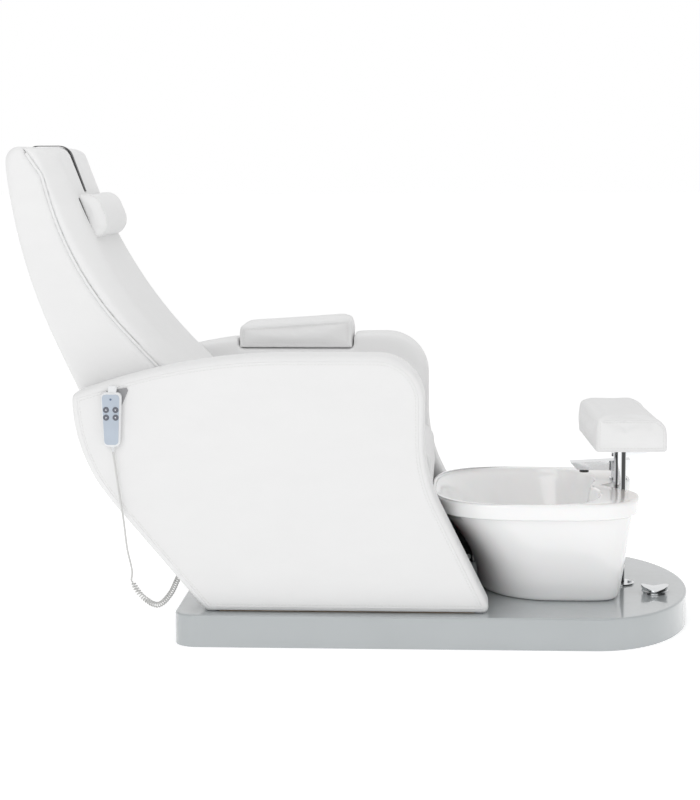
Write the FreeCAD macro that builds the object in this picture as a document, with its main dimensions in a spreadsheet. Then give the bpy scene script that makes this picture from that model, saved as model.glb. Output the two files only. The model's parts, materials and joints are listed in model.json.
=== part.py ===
"""Pedicure spa chair: reclining armchair on a plinth with foot basin, tap and footrest.

Frame: +X is the way the sitter faces, +Y is the sitter's left, +Z is up.
The origin is on the floor at the centre of the plinth. Millimetres.
"""
import FreeCAD, Part
import math
import os
import re

import Sketcher
from FreeCAD import Placement, Rotation, Vector

# ---------------------------------------------------------------- driving dimensions
DIMENSIONS = {
    # plinth
    "base_rear_x": -657.5, "base_nose_x": 392.5, "base_nose_len": 265, "base_half_y": 415,
    "base_z": 81, "base_wall": 6, "base_top": 8, "base_corner_r": 60, "base_edge_r": 5,
    "base_board": 10, "beam_y": 320, "beam_wide": 30, "beam_top": 72, "cross_top": 43,
    # side panels, which are also the arms
    "arm_in": 255, "arm_out": 375, "arm_z": 725, "arm_front_x": -32, "arm_front_r": 115,
    "arm_knee_x": -599, "arm_knee_r": 1500, "tip_x": -907, "tip_z": 628, "tip_r": 12,
    "front_knee_z": 426, "front_knee_r": 380, "toe_x": 138, "toe_r": 14,
    "heel_x": -578, "rear_knee_z": 470, "rear_knee_r": 400, "arm_edge_r": 14,
    # plywood cores inside the side panels
    "core_thick": 90, "core_gap": 1, "core_top": 665, "core_front_x": -62, "core_rear_x": -850,
    "core_toe_x": 96, "core_heel_x": -545,
    # arm pad let into the left arm
    "notch_rear_x": -562, "notch_front_x": -239, "notch_z": 682, "pad_gap": 2,
    "pad_bottom_z": 683.5, "pad_front_z": 772, "pad_rear_z": 750, "pad_r": 14,
    "pad_pin_y": 365, "pad_pin_z": 692, "pad_pin_r": 3,
    # backrest
    "back_half_y": 250, "back_top_z": 1242, "back_rear_x": -1094, "back_front_x": -980,
    "bow_x": -844, "bow_z": 879, "bow_r": 1200, "lumbar_x": -600, "lumbar_z": 640, "lumbar_r": 250,
    "back_foot_x": -508, "back_foot_z": 440, "seam_top_x": -1048, "back_skin": 25,
    "shoulder_wide": 80, "shoulder_drop": 38,
    "pivot_x": -540, "pivot_z": 395, "pivot_r": 6,
    # seat
    "seat_z": 480, "seat_front_x": -12, "seat_rear_x": -500, "apron_z": 352, "apron_thick": 38,
    "cushion_under_z": 385, "board_z": 369, "frame_z": 350, "frame_h": 18, "ring_bar": 25,
    # chair frame and rails
    "leg_rear_x": -480, "leg_front_x": -110, "leg": 30, "leg_in": 224, "rail_z": 331,
    # front panel under the seat; the sliding rails pass over its top edge
    "kick_x": -34, "kick_thick": 10, "kick_half_y": 253, "kick_top": 333,
    # recline actuator
    "act_x": -165, "act_z": 328.68, "horn_x": -584.74, "act_pin_r": 5, "eye_clear": 3.5,
    "rod_r": 8, "slide_y": -110, "slide_axis_z": 300,
    # foot basin
    "hose_z": 58, "hose_gap": 12, "hose_bend": 25, "hose_r": 5,
    "tub_rim_z": 346, "tub_rim_h": 41, "tub_rim_out": 13.5, "tub_drain_x": 290, "tub_floor_z": 100,
    # footrest
    "post_x": 480.5, "post_r": 16.5, "post_bore": 15, "post_inner_r": 14, "post_top_z": 452,
    "rest_z": 462, "rest_top_z": 553, "rest_x": 186, "rest_y": 407, "rest_turn": 2.8,
    # tap
    "tap_x": 485, "tap_y": 100, "tap_top_z": 402, "spout_wide": 46, "lever_z": 410,
    # drain knob
    "knob_x": 565, "knob_y": -120, "knob_r": 35.5,
    # handset
    "hand_x": -805, "hand_top_z": 637, "hand_low_z": 501, "hand_back_y": -380, "hand_thick": 19,
    "button_r": 7.5, "button_dx": 11.8, "button_up_z": 594, "button_low_z": 575,
    # running clearance on a radius
    "fit": 0.05,
}

doc = FreeCAD.newDocument("pedicure_spa_chair")
sheet = doc.addObject("Spreadsheet::Sheet", "Sizes")
for row, (alias, number) in enumerate(DIMENSIONS.items(), start=1):
    sheet.set(f"A{row}", alias)
    sheet.set(f"B{row}", str(number))
    sheet.setAlias(f"B{row}", alias)
doc.recompute()

SHOULDER_STEPS = 5
WORD = re.compile(r"[a-z_][a-z_0-9]*")
X_AXIS, Y_AXIS, Z_AXIS = Vector(1, 0, 0), Vector(0, 1, 0), Vector(0, 0, 1)
SUBPARTS = []


# ---------------------------------------------------------------- helpers
def bound(text):
    """Turn a formula of aliases into one that reads the spreadsheet."""
    return WORD.sub(lambda m: "Sizes." + m[0] if m[0] in DIMENSIONS else m[0], str(text))


def size(alias):
    return float(sheet.get(alias))


def subpart(obj, label):
    """Mark an object as one finished piece, to be written under its label."""
    obj.Label = label
    SUBPARTS.append(obj)
    return obj


def new_body(name):
    return doc.addObject("PartDesign::Body", name)


def new_sketch(body, role, offset):
    """A sketch on one of the body's origin planes, moved along its normal."""
    sketch = body.newObject("Sketcher::SketchObject", "Sketch")
    plane = next(f for f in body.Origin.OriginFeatures if f.Role == role)
    sketch.AttachmentSupport = (plane, [""])
    sketch.MapMode = "FlatFace"
    sketch.setExpression("AttachmentOffset.Base.z", bound(offset))
    return sketch


def polygon(body, role, corners, offset="0"):
    """A closed outline whose corners are formulas (u, v) of the spreadsheet."""
    sketch = new_sketch(body, role, offset)
    count = len(corners)
    turn = 2 * math.pi / count
    start = [Vector(math.cos(turn * i), math.sin(turn * i), 0) for i in range(count)]
    for i in range(count):
        sketch.addGeometry(Part.LineSegment(start[i], start[(i + 1) % count]))
    for i in range(count):
        sketch.addConstraint(Sketcher.Constraint("Coincident", i, 2, (i + 1) % count, 1))
    for i, (u, v) in enumerate(corners):
        for kind, formula, value in (("DistanceX", u, start[i].x), ("DistanceY", v, start[i].y)):
            index = sketch.addConstraint(Sketcher.Constraint(kind, i, 1, value))
            sketch.setExpression(f"Constraints[{index}]", bound(formula))
    doc.recompute()
    return sketch


def circles(body, role, rounds, offset="0"):
    """Circles (u, v, radius), each a formula of the spreadsheet."""
    sketch = new_sketch(body, role, offset)
    for i, (u, v, radius) in enumerate(rounds):
        sketch.addGeometry(Part.Circle(Vector(i, i, 0), Z_AXIS, 1))
        for kind, formula in (("DistanceX", u), ("DistanceY", v)):
            index = sketch.addConstraint(Sketcher.Constraint(kind, i, 3, float(i)))
            sketch.setExpression(f"Constraints[{index}]", bound(formula))
        index = sketch.addConstraint(Sketcher.Constraint("Radius", i, 1.0))
        sketch.setExpression(f"Constraints[{index}]", bound(radius))
    doc.recompute()
    return sketch


def oval(body, role, centre_u, half_u, half_v, offset="0"):
    """An ellipse on the u axis whose longer half axis is half_v."""
    sketch = new_sketch(body, role, offset)
    sketch.addGeometry(Part.Ellipse(Vector(0, 2, 0), Vector(-1, 0, 0), Vector(0, 0, 0)))
    sketch.exposeInternalGeometry(0)
    sketch.addConstraint(Sketcher.Constraint("Vertical", 1))
    bindings = (("DistanceX", (0, 3), centre_u), ("DistanceY", (0, 3), "0"),
                ("Distance", (1,), f"2 * ({half_v})"), ("Distance", (2,), f"2 * ({half_u})"))
    for kind, where, formula in bindings:
        index = sketch.addConstraint(Sketcher.Constraint(kind, *where, 1.0))
        sketch.setExpression(f"Constraints[{index}]", bound(formula))
    doc.recompute()
    return sketch


def extrude(kind, body, sketch, length, middle=True, reverse=False):
    """Add (Pad) or remove (Pocket) the sketch's outline over a length."""
    feature = body.newObject("PartDesign::" + kind, kind)
    feature.Profile = sketch
    if middle:
        feature.SideType = "Symmetric"
    feature.Reversed = reverse
    feature.setExpression("Length", bound(length))
    before = body.Shape.Volume if kind == "Pocket" else 0
    doc.recompute()
    if kind == "Pocket" and not body.Shape.Volume < before:
        raise RuntimeError(f"{body.Name}: the pocket cuts nothing")
    return feature


def fillet(body, wanted, radius):
    """Round every edge of the body that the test picks."""
    tip = body.Tip
    names = [f"Edge{i}" for i, edge in enumerate(tip.Shape.Edges, start=1) if wanted(edge)]
    if not names:
        raise RuntimeError(f"{body.Name}: no edge to round")
    feature = body.newObject("PartDesign::Fillet", "Fillet")
    feature.Base = (tip, names)
    feature.setExpression("Radius", bound(radius))
    doc.recompute()
    if feature.Shape.isNull() or "Invalid" in feature.State:
        raise RuntimeError(f"{body.Name}: the radius {radius} doesn't fit")
    return feature


def round_corners(body, sketch, radii):
    """Round the extruded outline's corners: corner number to radius formula."""
    placement = sketch.getGlobalPlacement()
    normal = placement.Rotation.multVec(Z_AXIS)
    corners = {i: placement.multVec(sketch.Geometry[i].StartPoint) for i in radii}
    for i, radius in radii.items():
        def at_corner(edge, corner=corners[i]):
            return all((vertex.Point - corner).cross(normal).Length < 0.01 for vertex in edge.Vertexes)
        fillet(body, at_corner, radius)


def plate(name, corners, thick, middle="0", radii=None, role="XZ_Plane"):
    """A flat piece: an outline extruded both ways from its middle plane."""
    body = new_body(name)
    sketch = polygon(body, role, corners, f"-({middle})" if role == "XZ_Plane" else middle)
    extrude("Pad", body, sketch, thick)
    round_corners(body, sketch, radii or {})
    return body


def box(name, low, high):
    """A box between two corners, each three formulas."""
    solid = doc.addObject("Part::Box", name)
    for axis, side, first, last in zip("xyz", ("Length", "Width", "Height"), low, high):
        solid.setExpression(side, bound(f"({last}) - ({first})"))
        solid.setExpression("Placement.Base." + axis, bound(first))
    return solid


def rod(name, axis, radius, start, length):
    """A round bar from a start point along +X, +Y or +Z."""
    solid = doc.addObject("Part::Cylinder", name)
    solid.setExpression("Radius", bound(radius))
    solid.setExpression("Height", bound(length))
    solid.Placement = Placement(Vector(), Rotation(Z_AXIS, axis))
    for letter, formula in zip("xyz", start):
        solid.setExpression("Placement.Base." + letter, bound(formula))
    return solid


def fuse(name, *solids):
    joined = doc.addObject("Part::MultiFuse", name)
    joined.Shapes = list(solids)
    return joined


def cut(name, base, *tools):
    tool = tools[0] if len(tools) == 1 else fuse(name + "_tools", *tools)
    result = doc.addObject("Part::Cut", name)
    result.Base = base
    result.Tool = tool
    return result


def group(name, *solids):
    """Separate solids that share one node."""
    gathered = doc.addObject("Part::Compound", name)
    gathered.Links = list(solids)
    return gathered


def feature(name, shape):
    """A free form that only Part's own functions can make."""
    solid = doc.addObject("Part::Feature", name)
    solid.Shape = shape
    return solid


def pipe(points, radius):
    """A round hose along a smooth curve through points."""
    curve = Part.BSplineCurve()
    curve.interpolate([Vector(*p) for p in points])
    start = curve.value(0)
    ring = Part.Wire(Part.makeCircle(radius, start, curve.tangent(0)[0]))
    return Part.Wire(curve.toShape()).makePipeShell([ring], True, True)


def bent_hose(points, bend, radius):
    """A round hose of straight lengths joined by arcs of one bend radius."""
    corners = [Vector(*p) for p in points]
    edges = []
    start = corners[0]
    for before, corner, after in zip(corners, corners[1:], corners[2:]):
        back = (before - corner).normalize()
        ahead = (after - corner).normalize()
        half = back.getAngle(ahead) / 2
        first, last = corner + back * (bend / math.tan(half)), corner + ahead * (bend / math.tan(half))
        inward = (back + ahead).normalize()
        middle = corner + inward * (bend / math.sin(half) - bend)
        edges.append(Part.makeLine(start, first))
        edges.append(Part.Arc(first, middle, last).toShape())
        start = last
    edges.append(Part.makeLine(start, corners[-1]))
    direction = (corners[1] - corners[0]).normalize()
    ring = Part.Wire(Part.makeCircle(radius, corners[0], direction))
    return Part.Wire(edges).makePipeShell([ring], True, False)


def on_side_face(edge, y_values):
    """True for an edge that lies wholly in one of the planes Y = value."""
    low, high = edge.BoundBox.YMin, edge.BoundBox.YMax
    return high - low < 0.01 and any(abs(abs(low) - y) < 0.01 for y in y_values)


# ---------------------------------------------------------------- plinth
def make_plinth():
    """Lacquered moulded shell, the board that closes it underneath and the steel beams inside."""
    body = new_body("platform")
    corners = [("base_rear_x", "-base_half_y"), ("base_nose_x", "-base_half_y"),
               ("base_nose_x", "base_half_y"), ("base_rear_x", "base_half_y")]
    deck = polygon(body, "XY_Plane", corners)
    extrude("Pad", body, deck, "base_z", middle=False)
    round_corners(body, deck, {0: "base_corner_r", 3: "base_corner_r"})
    nose = oval(body, "XY_Plane", "base_nose_x", "base_nose_len", "base_half_y")
    extrude("Pad", body, nose, "base_z", middle=False)

    def top_edge(edge):
        return edge.BoundBox.ZMin > size("base_z") - 0.01
    fillet(body, top_edge, "base_edge_r")
    cant = "base_rear_x + base_wall + 0.6 * base_corner_r"
    inside = [(cant, "base_wall - base_half_y"), ("base_nose_x", "base_wall - base_half_y"),
              ("base_nose_x", "base_half_y - base_wall"), (cant, "base_half_y - base_wall"),
              ("base_rear_x + base_wall", "base_half_y - base_wall - 0.6 * base_corner_r"),
              ("base_rear_x + base_wall", "base_wall - base_half_y + 0.6 * base_corner_r")]
    hollow = polygon(body, "XY_Plane", inside)
    extrude("Pocket", body, hollow, "base_z - base_top", middle=False, reverse=True)
    hollow = oval(body, "XY_Plane", "base_nose_x", "base_nose_len - base_wall",
                  "base_half_y - base_wall")
    extrude("Pocket", body, hollow, "base_z - base_top", middle=False, reverse=True)
    holes = [("tub_drain_x", "0", "21"), ("434", "tap_y", "24"), ("knob_x", "knob_y", "9")]
    for turn_x, turn_y in FLANGE_SCREWS:
        holes.append((f"post_x + ({turn_x})", turn_y, "3.1"))
    through = circles(body, "XY_Plane", holes, "base_z")
    extrude("Pocket", body, through, "base_top + 1", middle=False)
    outlets = circles(body, "YZ_Plane", [("0", "hose_z", "13"), ("tap_y - hose_gap", "hose_z", "7"),
                                        ("tap_y + hose_gap", "hose_z", "7")],
                      "base_rear_x + base_wall + 1")
    extrude("Pocket", body, outlets, "base_wall + 2", middle=False)
    subpart(body, "base_platform")

    board_half = "base_half_y - base_wall - 1"
    board = new_body("board")
    outline = polygon(board, "XY_Plane", [
        (cant + " + 1", f"-({board_half})"), ("base_nose_x", f"-({board_half})"),
        ("base_nose_x", board_half), (cant + " + 1", board_half),
        ("base_rear_x + base_wall + 1", f"{board_half} - 0.6 * base_corner_r"),
        ("base_rear_x + base_wall + 1", f"0.6 * base_corner_r - ({board_half})")])
    extrude("Pad", board, outline, "base_board", middle=False)
    nose = oval(board, "XY_Plane", "base_nose_x", "base_nose_len - base_wall - 1", board_half)
    extrude("Pad", board, nose, "base_board", middle=False)
    subpart(board, "base_board")

    beams = []
    for side in ("-1", "1"):
        middle = f"{side} * beam_y"
        beams.append(box("beam", ("-600", f"{middle} - beam_wide / 2", "base_board"),
                         ("380", f"{middle} + beam_wide / 2", "beam_top")))
    for x in ("-590", "-120", "340"):
        beams.append(box("cross_beam", (x, "-beam_y", "base_board"),
                         (f"{x} + 30", "beam_y", "cross_top")))
    subpart(fuse("subframe", *beams), "base_subframe")


# ---------------------------------------------------------------- side panels
SIDE_OUTLINE = [("tip_x", "tip_z"), ("arm_knee_x", "arm_z"), ("arm_front_x", "arm_z"),
                ("arm_front_x", "front_knee_z"), ("toe_x", "base_z"), ("heel_x", "base_z"),
                ("tip_x", "rear_knee_z")]
SIDE_RADII = {1: "arm_knee_r", 6: "rear_knee_r", 3: "front_knee_r", 2: "arm_front_r",
              0: "tip_r", 4: "toe_r"}
ARM_MIDDLE = "(arm_in + arm_out) / 2"
BOLT_PLACES = [("leg_rear_x + leg / 2", "140"), ("leg_rear_x + leg / 2", "270"),
               ("leg_front_x + leg / 2", "140"), ("leg_front_x + leg / 2", "270")]
FLANGE_SCREWS = [("30", "0"), ("-30", "0"), ("0", "30"), ("0", "-30")]


def core_outline(gap):
    """The plywood core's outline, grown by a gap, open at the plinth."""
    return [(f"core_rear_x - {gap}", f"590 + {gap}"), (f"arm_knee_x - {gap}", f"core_top + {gap}"),
            (f"core_front_x - 68 + {gap}", f"core_top + {gap}"),
            (f"core_front_x + {gap}", f"600 + {gap}"), (f"core_front_x + {gap}", "430"),
            (f"core_toe_x + {gap}", f"base_z - {gap}"), (f"core_heel_x - {gap}", f"base_z - {gap}"),
            (f"core_rear_x - {gap}", "455")]


def side_panel(name, middle):
    """The upholstered cover: foam and leatherette around the core's cavity."""
    body = plate(name, SIDE_OUTLINE, "arm_out - arm_in", middle, SIDE_RADII)

    def outer_edge(edge):
        return (on_side_face(edge, (size("arm_in"), size("arm_out")))
                and edge.BoundBox.ZMax > size("base_z") + 1)
    fillet(body, outer_edge, "arm_edge_r")
    cavity = polygon(body, "XZ_Plane", core_outline("core_gap"), f"-({middle})")
    extrude("Pocket", body, cavity, "core_thick + 2 * core_gap")
    return body


def make_sides():
    bolts = []
    bolt_holes = []
    for sign, direction in ((1, "1"), (-1, "-1")):
        for x, z in BOLT_PLACES:
            start = "leg_in" if sign > 0 else "-300"
            shank = rod("shank", Y_AXIS, "4", (x, start, z), "300 - leg_in")
            head = rod("head", Y_AXIS, "7", (x, "leg_in - 6" if sign > 0 else "-leg_in", z), "6")
            bolts.append(fuse("bolt", shank, head))
            bolt_holes.append(rod("bolt_hole", Y_AXIS, "4.1",
                                  (x, "leg_in - 1" if sign > 0 else "-301", z), "302 - leg_in"))
    subpart(group("bolts", *bolts), "panel_bolts")
    all_holes = fuse("bolt_holes", *bolt_holes)

    for side, sign in (("left", ""), ("right", "-")):
        middle = f"{sign}{ARM_MIDDLE}"
        cover = side_panel("cover_" + side, middle)
        tools = [all_holes]
        if side == "left":
            notch = [("notch_rear_x", "notch_z"), ("notch_front_x", "notch_z"),
                     ("notch_front_x", "arm_z + 20"), ("notch_rear_x", "arm_z + 20")]
            tools.append(plate("notch", notch, "arm_out - arm_in + 2", middle))
            tools.append(rod("pin_hole", X_AXIS, "pad_pin_r + 0.02",
                             ("notch_rear_x - 10", "pad_pin_y", "pad_pin_z"),
                             "notch_front_x - notch_rear_x + 20"))
        subpart(cut("panel_" + side, cover, *tools), "side_panel_" + side)
        core = plate("core_" + side, core_outline("0"), "core_thick", middle)
        for rear, front, low in (("-760", "-510", "440"), ("-430", "-290", "130"), ("-260", "-135", "130")):
            window = polygon(core, "XZ_Plane", [(rear, low), (front, low), (front, "615"),
                                                (rear, "600")], f"-({middle})")
            extrude("Pocket", core, window, "core_thick + 2")
        subpart(cut("bored_core_" + side, core, all_holes), "side_core_" + side)

    frame = []
    for sign in ("", "-"):
        low = "leg_in" if not sign else "-leg_in - leg"
        high = "leg_in + leg" if not sign else "-leg_in"
        frame.append(box("long_tube", ("leg_rear_x", low, "rail_z - leg"),
                         ("leg_front_x + leg", high, "rail_z")))
        for x in ("leg_rear_x", "leg_front_x"):
            frame.append(box("leg", (x, low, "base_z"), (f"{x} + leg", high, "rail_z")))
    for x in ("leg_rear_x", "leg_front_x"):
        frame.append(box("cross_tube", (x, "-leg_in", "215"), (f"{x} + leg", "leg_in", "245")))
    subpart(cut("bored_frame", fuse("frame", *frame), all_holes), "chair_frame")


def make_arm_pad():
    """Padded block let into the left arm; it lifts outwards about a pin at its outer edge."""
    corners = [("notch_rear_x + pad_gap", "pad_bottom_z"), ("notch_front_x - pad_gap", "pad_bottom_z"),
               ("notch_front_x - pad_gap", "pad_front_z"), ("notch_rear_x + pad_gap", "pad_rear_z")]
    body = plate("pad", corners, "arm_out - arm_in - 2", ARM_MIDDLE, {2: "pad_r", 3: "pad_r"})

    def long_edge(edge):
        return on_side_face(edge, (size("arm_in") + 1, size("arm_out") - 1))
    fillet(body, long_edge, "pad_r - 2")
    bore = rod("pad_bore", X_AXIS, "pad_pin_r + fit",
               ("notch_rear_x", "pad_pin_y", "pad_pin_z"), "notch_front_x - notch_rear_x")
    subpart(cut("bored_pad", body, bore), "arm_pad")
    pin = rod("pad_pin", X_AXIS, "pad_pin_r", ("notch_rear_x - 9", "pad_pin_y", "pad_pin_z"),
              "notch_front_x - notch_rear_x + 18")
    subpart(pin, "arm_pad_pin")


def make_footwell():
    """Dark front panel, dark linings of the side panels and the rear cover."""
    kick = box("kick", ("kick_x", "-kick_half_y", "base_z"),
               ("kick_x + kick_thick", "kick_half_y", "kick_top"))
    subpart(kick, "kick_panel")
    lining = [("-22", "base_z + 2"), ("94", "base_z + 2"), ("94", "150"), ("16", "310"),
              ("-22", "310")]
    places = [("82", "98"), ("-12", "98")]
    linings = []
    screws = []
    for side, sign in (("left", 1), ("right", -1)):
        middle = "arm_in - 2" if sign > 0 else "2 - arm_in"
        body = plate("lining_" + side, lining, "3", middle)
        holes = circles(body, "XZ_Plane", [(x, z, "2.1") for x, z in places], f"-({middle})")
        extrude("Pocket", body, holes, "6")
        linings.append(subpart(body, "footwell_lining_" + side))
        for x, z in places:
            inner = "arm_in - 8.5" if sign > 0 else "3.5 - arm_in"
            head = rod("screw_head", Y_AXIS, "7", (x, inner, z), "5")
            shank = rod("screw_shank", Y_AXIS, "2", (x, inner, z), "8.4")
            if sign < 0:
                shank.setExpression("Placement.Base.y", bound("0.1 - arm_in"))
            screws.append(fuse("screw", head, shank))
    subpart(group("lining_screws_group", *screws), "lining_screws")
    cover = [("-564", "base_z"), ("-772", "330"), ("-745", "330"), ("-537", "base_z")]
    subpart(plate("rear", cover, "506"), "rear_cover")


# ---------------------------------------------------------------- seat
def make_seat():
    cushion = [("seat_rear_x", "cushion_under_z"), ("seat_front_x - apron_thick", "cushion_under_z"),
               ("seat_front_x - apron_thick", "apron_z"), ("seat_front_x", "apron_z"),
               ("seat_front_x", "seat_z"), ("seat_rear_x", "seat_z")]
    body = plate("cushion", cushion, "2 * back_half_y", radii={4: "45", 3: "8", 5: "18"})
    subpart(body, "seat_cushion")
    subpart(box("board", ("-495", "-240", "board_z"), ("-55", "240", "board_z + 15")), "seat_board")

    ring = cut("ring", box("ring_out", ("-490", "-248", "frame_z"), ("-53", "248", "frame_z + frame_h")),
               box("ring_in", ("-490 + ring_bar", "ring_bar - 248", "frame_z - 1"),
                   ("-53 - ring_bar", "248 - ring_bar", "frame_z + frame_h + 1")))
    cross = box("cross_bar", ("-205", "-230", "frame_z"), ("-150", "230", "frame_z + frame_h"))
    lug = box("slide_lug", ("-200", "slide_y - 12", "288"), ("-180", "slide_y + 12", "frame_z + 1"))
    parts = [ring, cross, lug]
    bracket = [("-466", "frame_z"), ("-466", "frame_z + frame_h"), ("-497", "frame_z + frame_h"),
               ("pivot_x + 18", "pivot_z + 19"), ("pivot_x - 18", "pivot_z + 19"),
               ("pivot_x - 18", "pivot_z - 19"), ("-515", "frame_z")]
    for side in ("217", "-217"):
        parts.append(plate("hinge_bracket", bracket, "6", side))
    ear = [("act_x - 15", "act_z - 14"), ("act_x + 15", "act_z - 14"), ("act_x + 15", "frame_z + 1"),
           ("act_x - 15", "frame_z + 1")]
    for side in ("21", "-21"):
        parts.append(plate("actuator_ear", ear, "6", side))
    holes = [rod("pivot_hole", Y_AXIS, "pivot_r + 0.02", ("pivot_x", "-230", "pivot_z"), "460"),
             rod("front_hole", Y_AXIS, "act_pin_r + 0.02", ("act_x", "-30", "act_z"), "60")]
    subpart(cut("seat_frame_bored", fuse("seat_weldment", *parts), *holes), "seat_frame")

    outer = []
    inner = []
    for sign in (1, -1):
        middle = "(leg_in + leg / 2)" if sign > 0 else "(-leg_in - leg / 2)"
        channel = box("channel", ("-470", f"{middle} - 15", "rail_z"), ("-110", f"{middle} + 15", "349"))
        slot = box("slot", ("-471", f"{middle} - 9", "335"), ("-109", f"{middle} + 9", "351"))
        outer.append(cut("outer_rail", channel, slot))
        inner.append(box("inner_rail", ("-470", f"{middle} - 8.5", "335.5"),
                         ("-110", f"{middle} + 8.5", "frame_z")))
    subpart(group("outer_rails", *outer), "seat_rails_outer")
    subpart(group("inner_rails", *inner), "seat_rails_inner")

    pins = [rod("recline_pin_left", Y_AXIS, "pivot_r", ("pivot_x", "203", "pivot_z"), "21"),
            rod("recline_pin_right", Y_AXIS, "pivot_r", ("pivot_x", "-224", "pivot_z"), "21"),
            rod("front_pin", Y_AXIS, "act_pin_r", ("act_x", "-27", "act_z"), "54")]
    subpart(group("seat_pins", *pins), "frame_pins")


# ---------------------------------------------------------------- backrest
def seam_line(gap):
    """Where the front cushion meets the rear body, from the foot to the top."""
    return [(f"back_foot_x - 44 - {gap}", "back_foot_z"), (f"back_foot_x - 44 - {gap}", "seat_z"),
            (f"lumbar_x - 45 - {gap}", "lumbar_z - 25"), (f"bow_x - 86 - {gap}", "bow_z + 43"),
            (f"seam_top_x + 50 - {gap}", "back_top_z - 72"), (f"seam_top_x - {gap}", "back_top_z")]


def cushion_outline(fall):
    """The front cushion seen from the side, its front moved back by a share of the shoulder."""
    back = f"{fall} * shoulder_drop"
    return [(f"back_front_x - {back}", "back_top_z"), (f"bow_x - {back}", "bow_z"),
            (f"lumbar_x - {back}", "lumbar_z"), (f"back_foot_x - {back} / 2", "seat_z"),
            (f"back_foot_x - {back} / 2", "back_foot_z")] + seam_line("0")


def make_backrest():
    radii = {1: "bow_r", 8: "820", 2: "lumbar_r", 7: "250", 9: "60", 0: "35", 4: "15"}
    half, wide = size("back_half_y"), size("shoulder_wide")
    near, far = [], []
    for i in range(SHOULDER_STEPS + 1):
        inward = i / SHOULDER_STEPS
        section = plate("cushion_section", cushion_outline(round((1 - inward) ** 2, 4)), "1", radii=radii)
        side = max((f for f in section.Shape.Faces if on_side_face(f, [0.5])),
                   key=lambda f: f.CenterOfMass.y)
        for wires, sign in ((near, -1), (far, 1)):
            wire = side.OuterWire.copy()
            wire.translate(Vector(0, sign * (half - wide * inward) - side.CenterOfMass.y, 0))
            wires.append(wire)
    cushion = feature("back_cushion_body", Part.makeLoft(near + far[::-1], True, True))
    subpart(cushion, "back_cushion")

    rear = [("back_rear_x", "back_top_z"), ("back_rear_x + 23", "960"), ("-873", "535")]
    body = plate("back_body_body", rear + seam_line("1"), "2 * back_half_y",
                 radii={1: "1350", 6: "820", 5: "250", 7: "60", 0: "38", 2: "40"})
    cavity = [("back_rear_x + back_skin + 3", "1190"), ("back_rear_x + 23 + back_skin + 3", "960"),
              ("-848", "560"), ("-640", "500"), ("-640", "400"), ("-480", "400"), ("-480", "640"),
              ("-900", "1190")]
    hollow = polygon(body, "XZ_Plane", cavity)
    extrude("Pocket", body, hollow, "2 * (back_half_y - 35)")
    subpart(body, "back_body")

    side = [("-520", "378"), ("-562", "378"), ("-604", "470"), ("-694", "590"), ("-976", "905"),
            ("-1036", "1150"), ("-1006", "1150"), ("-944", "925"), ("-660", "618"),
            ("-562", "484"), ("-558", "436"), ("-520", "412")]
    parts = [plate("back_side_plate", side, "6", middle) for middle in ("209", "-209")]
    for x, z in (("-1021", "1125"), ("-957", "914"), ("-800", "738"), ("-660", "575")):
        parts.append(rod("back_cross_tube", Y_AXIS, "10", (x, "-207", z), "414"))
    torsion = rod("torsion_tube", Y_AXIS, "15", ("pivot_x", "-206", "pivot_z"), "412")
    horn = [("pivot_x - 12.4", "pivot_z + 8.4"), ("pivot_x + 12.4", "pivot_z - 8.4"),
            ("horn_x + 9.9", "act_z - 6.7"), ("horn_x - 9.9", "act_z + 6.7")]
    parts.append(torsion)
    for middle in ("12", "-12"):
        parts.append(plate("horn", horn, "6", middle))
        parts.append(rod("horn_eye", Y_AXIS, "12", ("horn_x", f"{middle} - 3", "act_z"), "6"))
    bores = [rod("torsion_bore", Y_AXIS, "pivot_r + fit", ("pivot_x", "-230", "pivot_z"), "460"),
             rod("horn_bore", Y_AXIS, "act_pin_r + 0.02", ("horn_x", "-30", "act_z"), "60")]
    subpart(cut("back_frame_bored", fuse("back_weldment", *parts), *bores), "back_frame")
    subpart(rod("rear_pin", Y_AXIS, "act_pin_r", ("horn_x", "-17", "act_z"), "34"),
            "actuator_rear_pin")

    strap = [("-933", "1125"), ("-976.2", "back_top_z + 3"), ("back_rear_x - 3", "back_top_z + 3"),
             ("back_rear_x - 3", "1150"), ("back_rear_x - 1", "1150"),
             ("back_rear_x - 1", "back_top_z + 1"), ("-977.6", "back_top_z + 1"), ("-935.1", "1125")]
    subpart(plate("strap", strap, "20", radii={1: "38", 6: "36", 2: "41", 5: "39"}), "head_strap")


def make_head_pillow():
    """Half-round roll lying on the upper back, in its own axes, then leaned back."""
    corners = [("0", "-61"), ("51", "-61"), ("51", "61"), ("0", "61")]
    body = plate("pillow", corners, "300", radii={1: "46", 2: "46", 0: "8", 3: "8"})
    body.Placement = Placement(Vector(-904.5, 0, 1061), Rotation(Y_AXIS, -22))
    subpart(body, "head_pillow")


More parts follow.
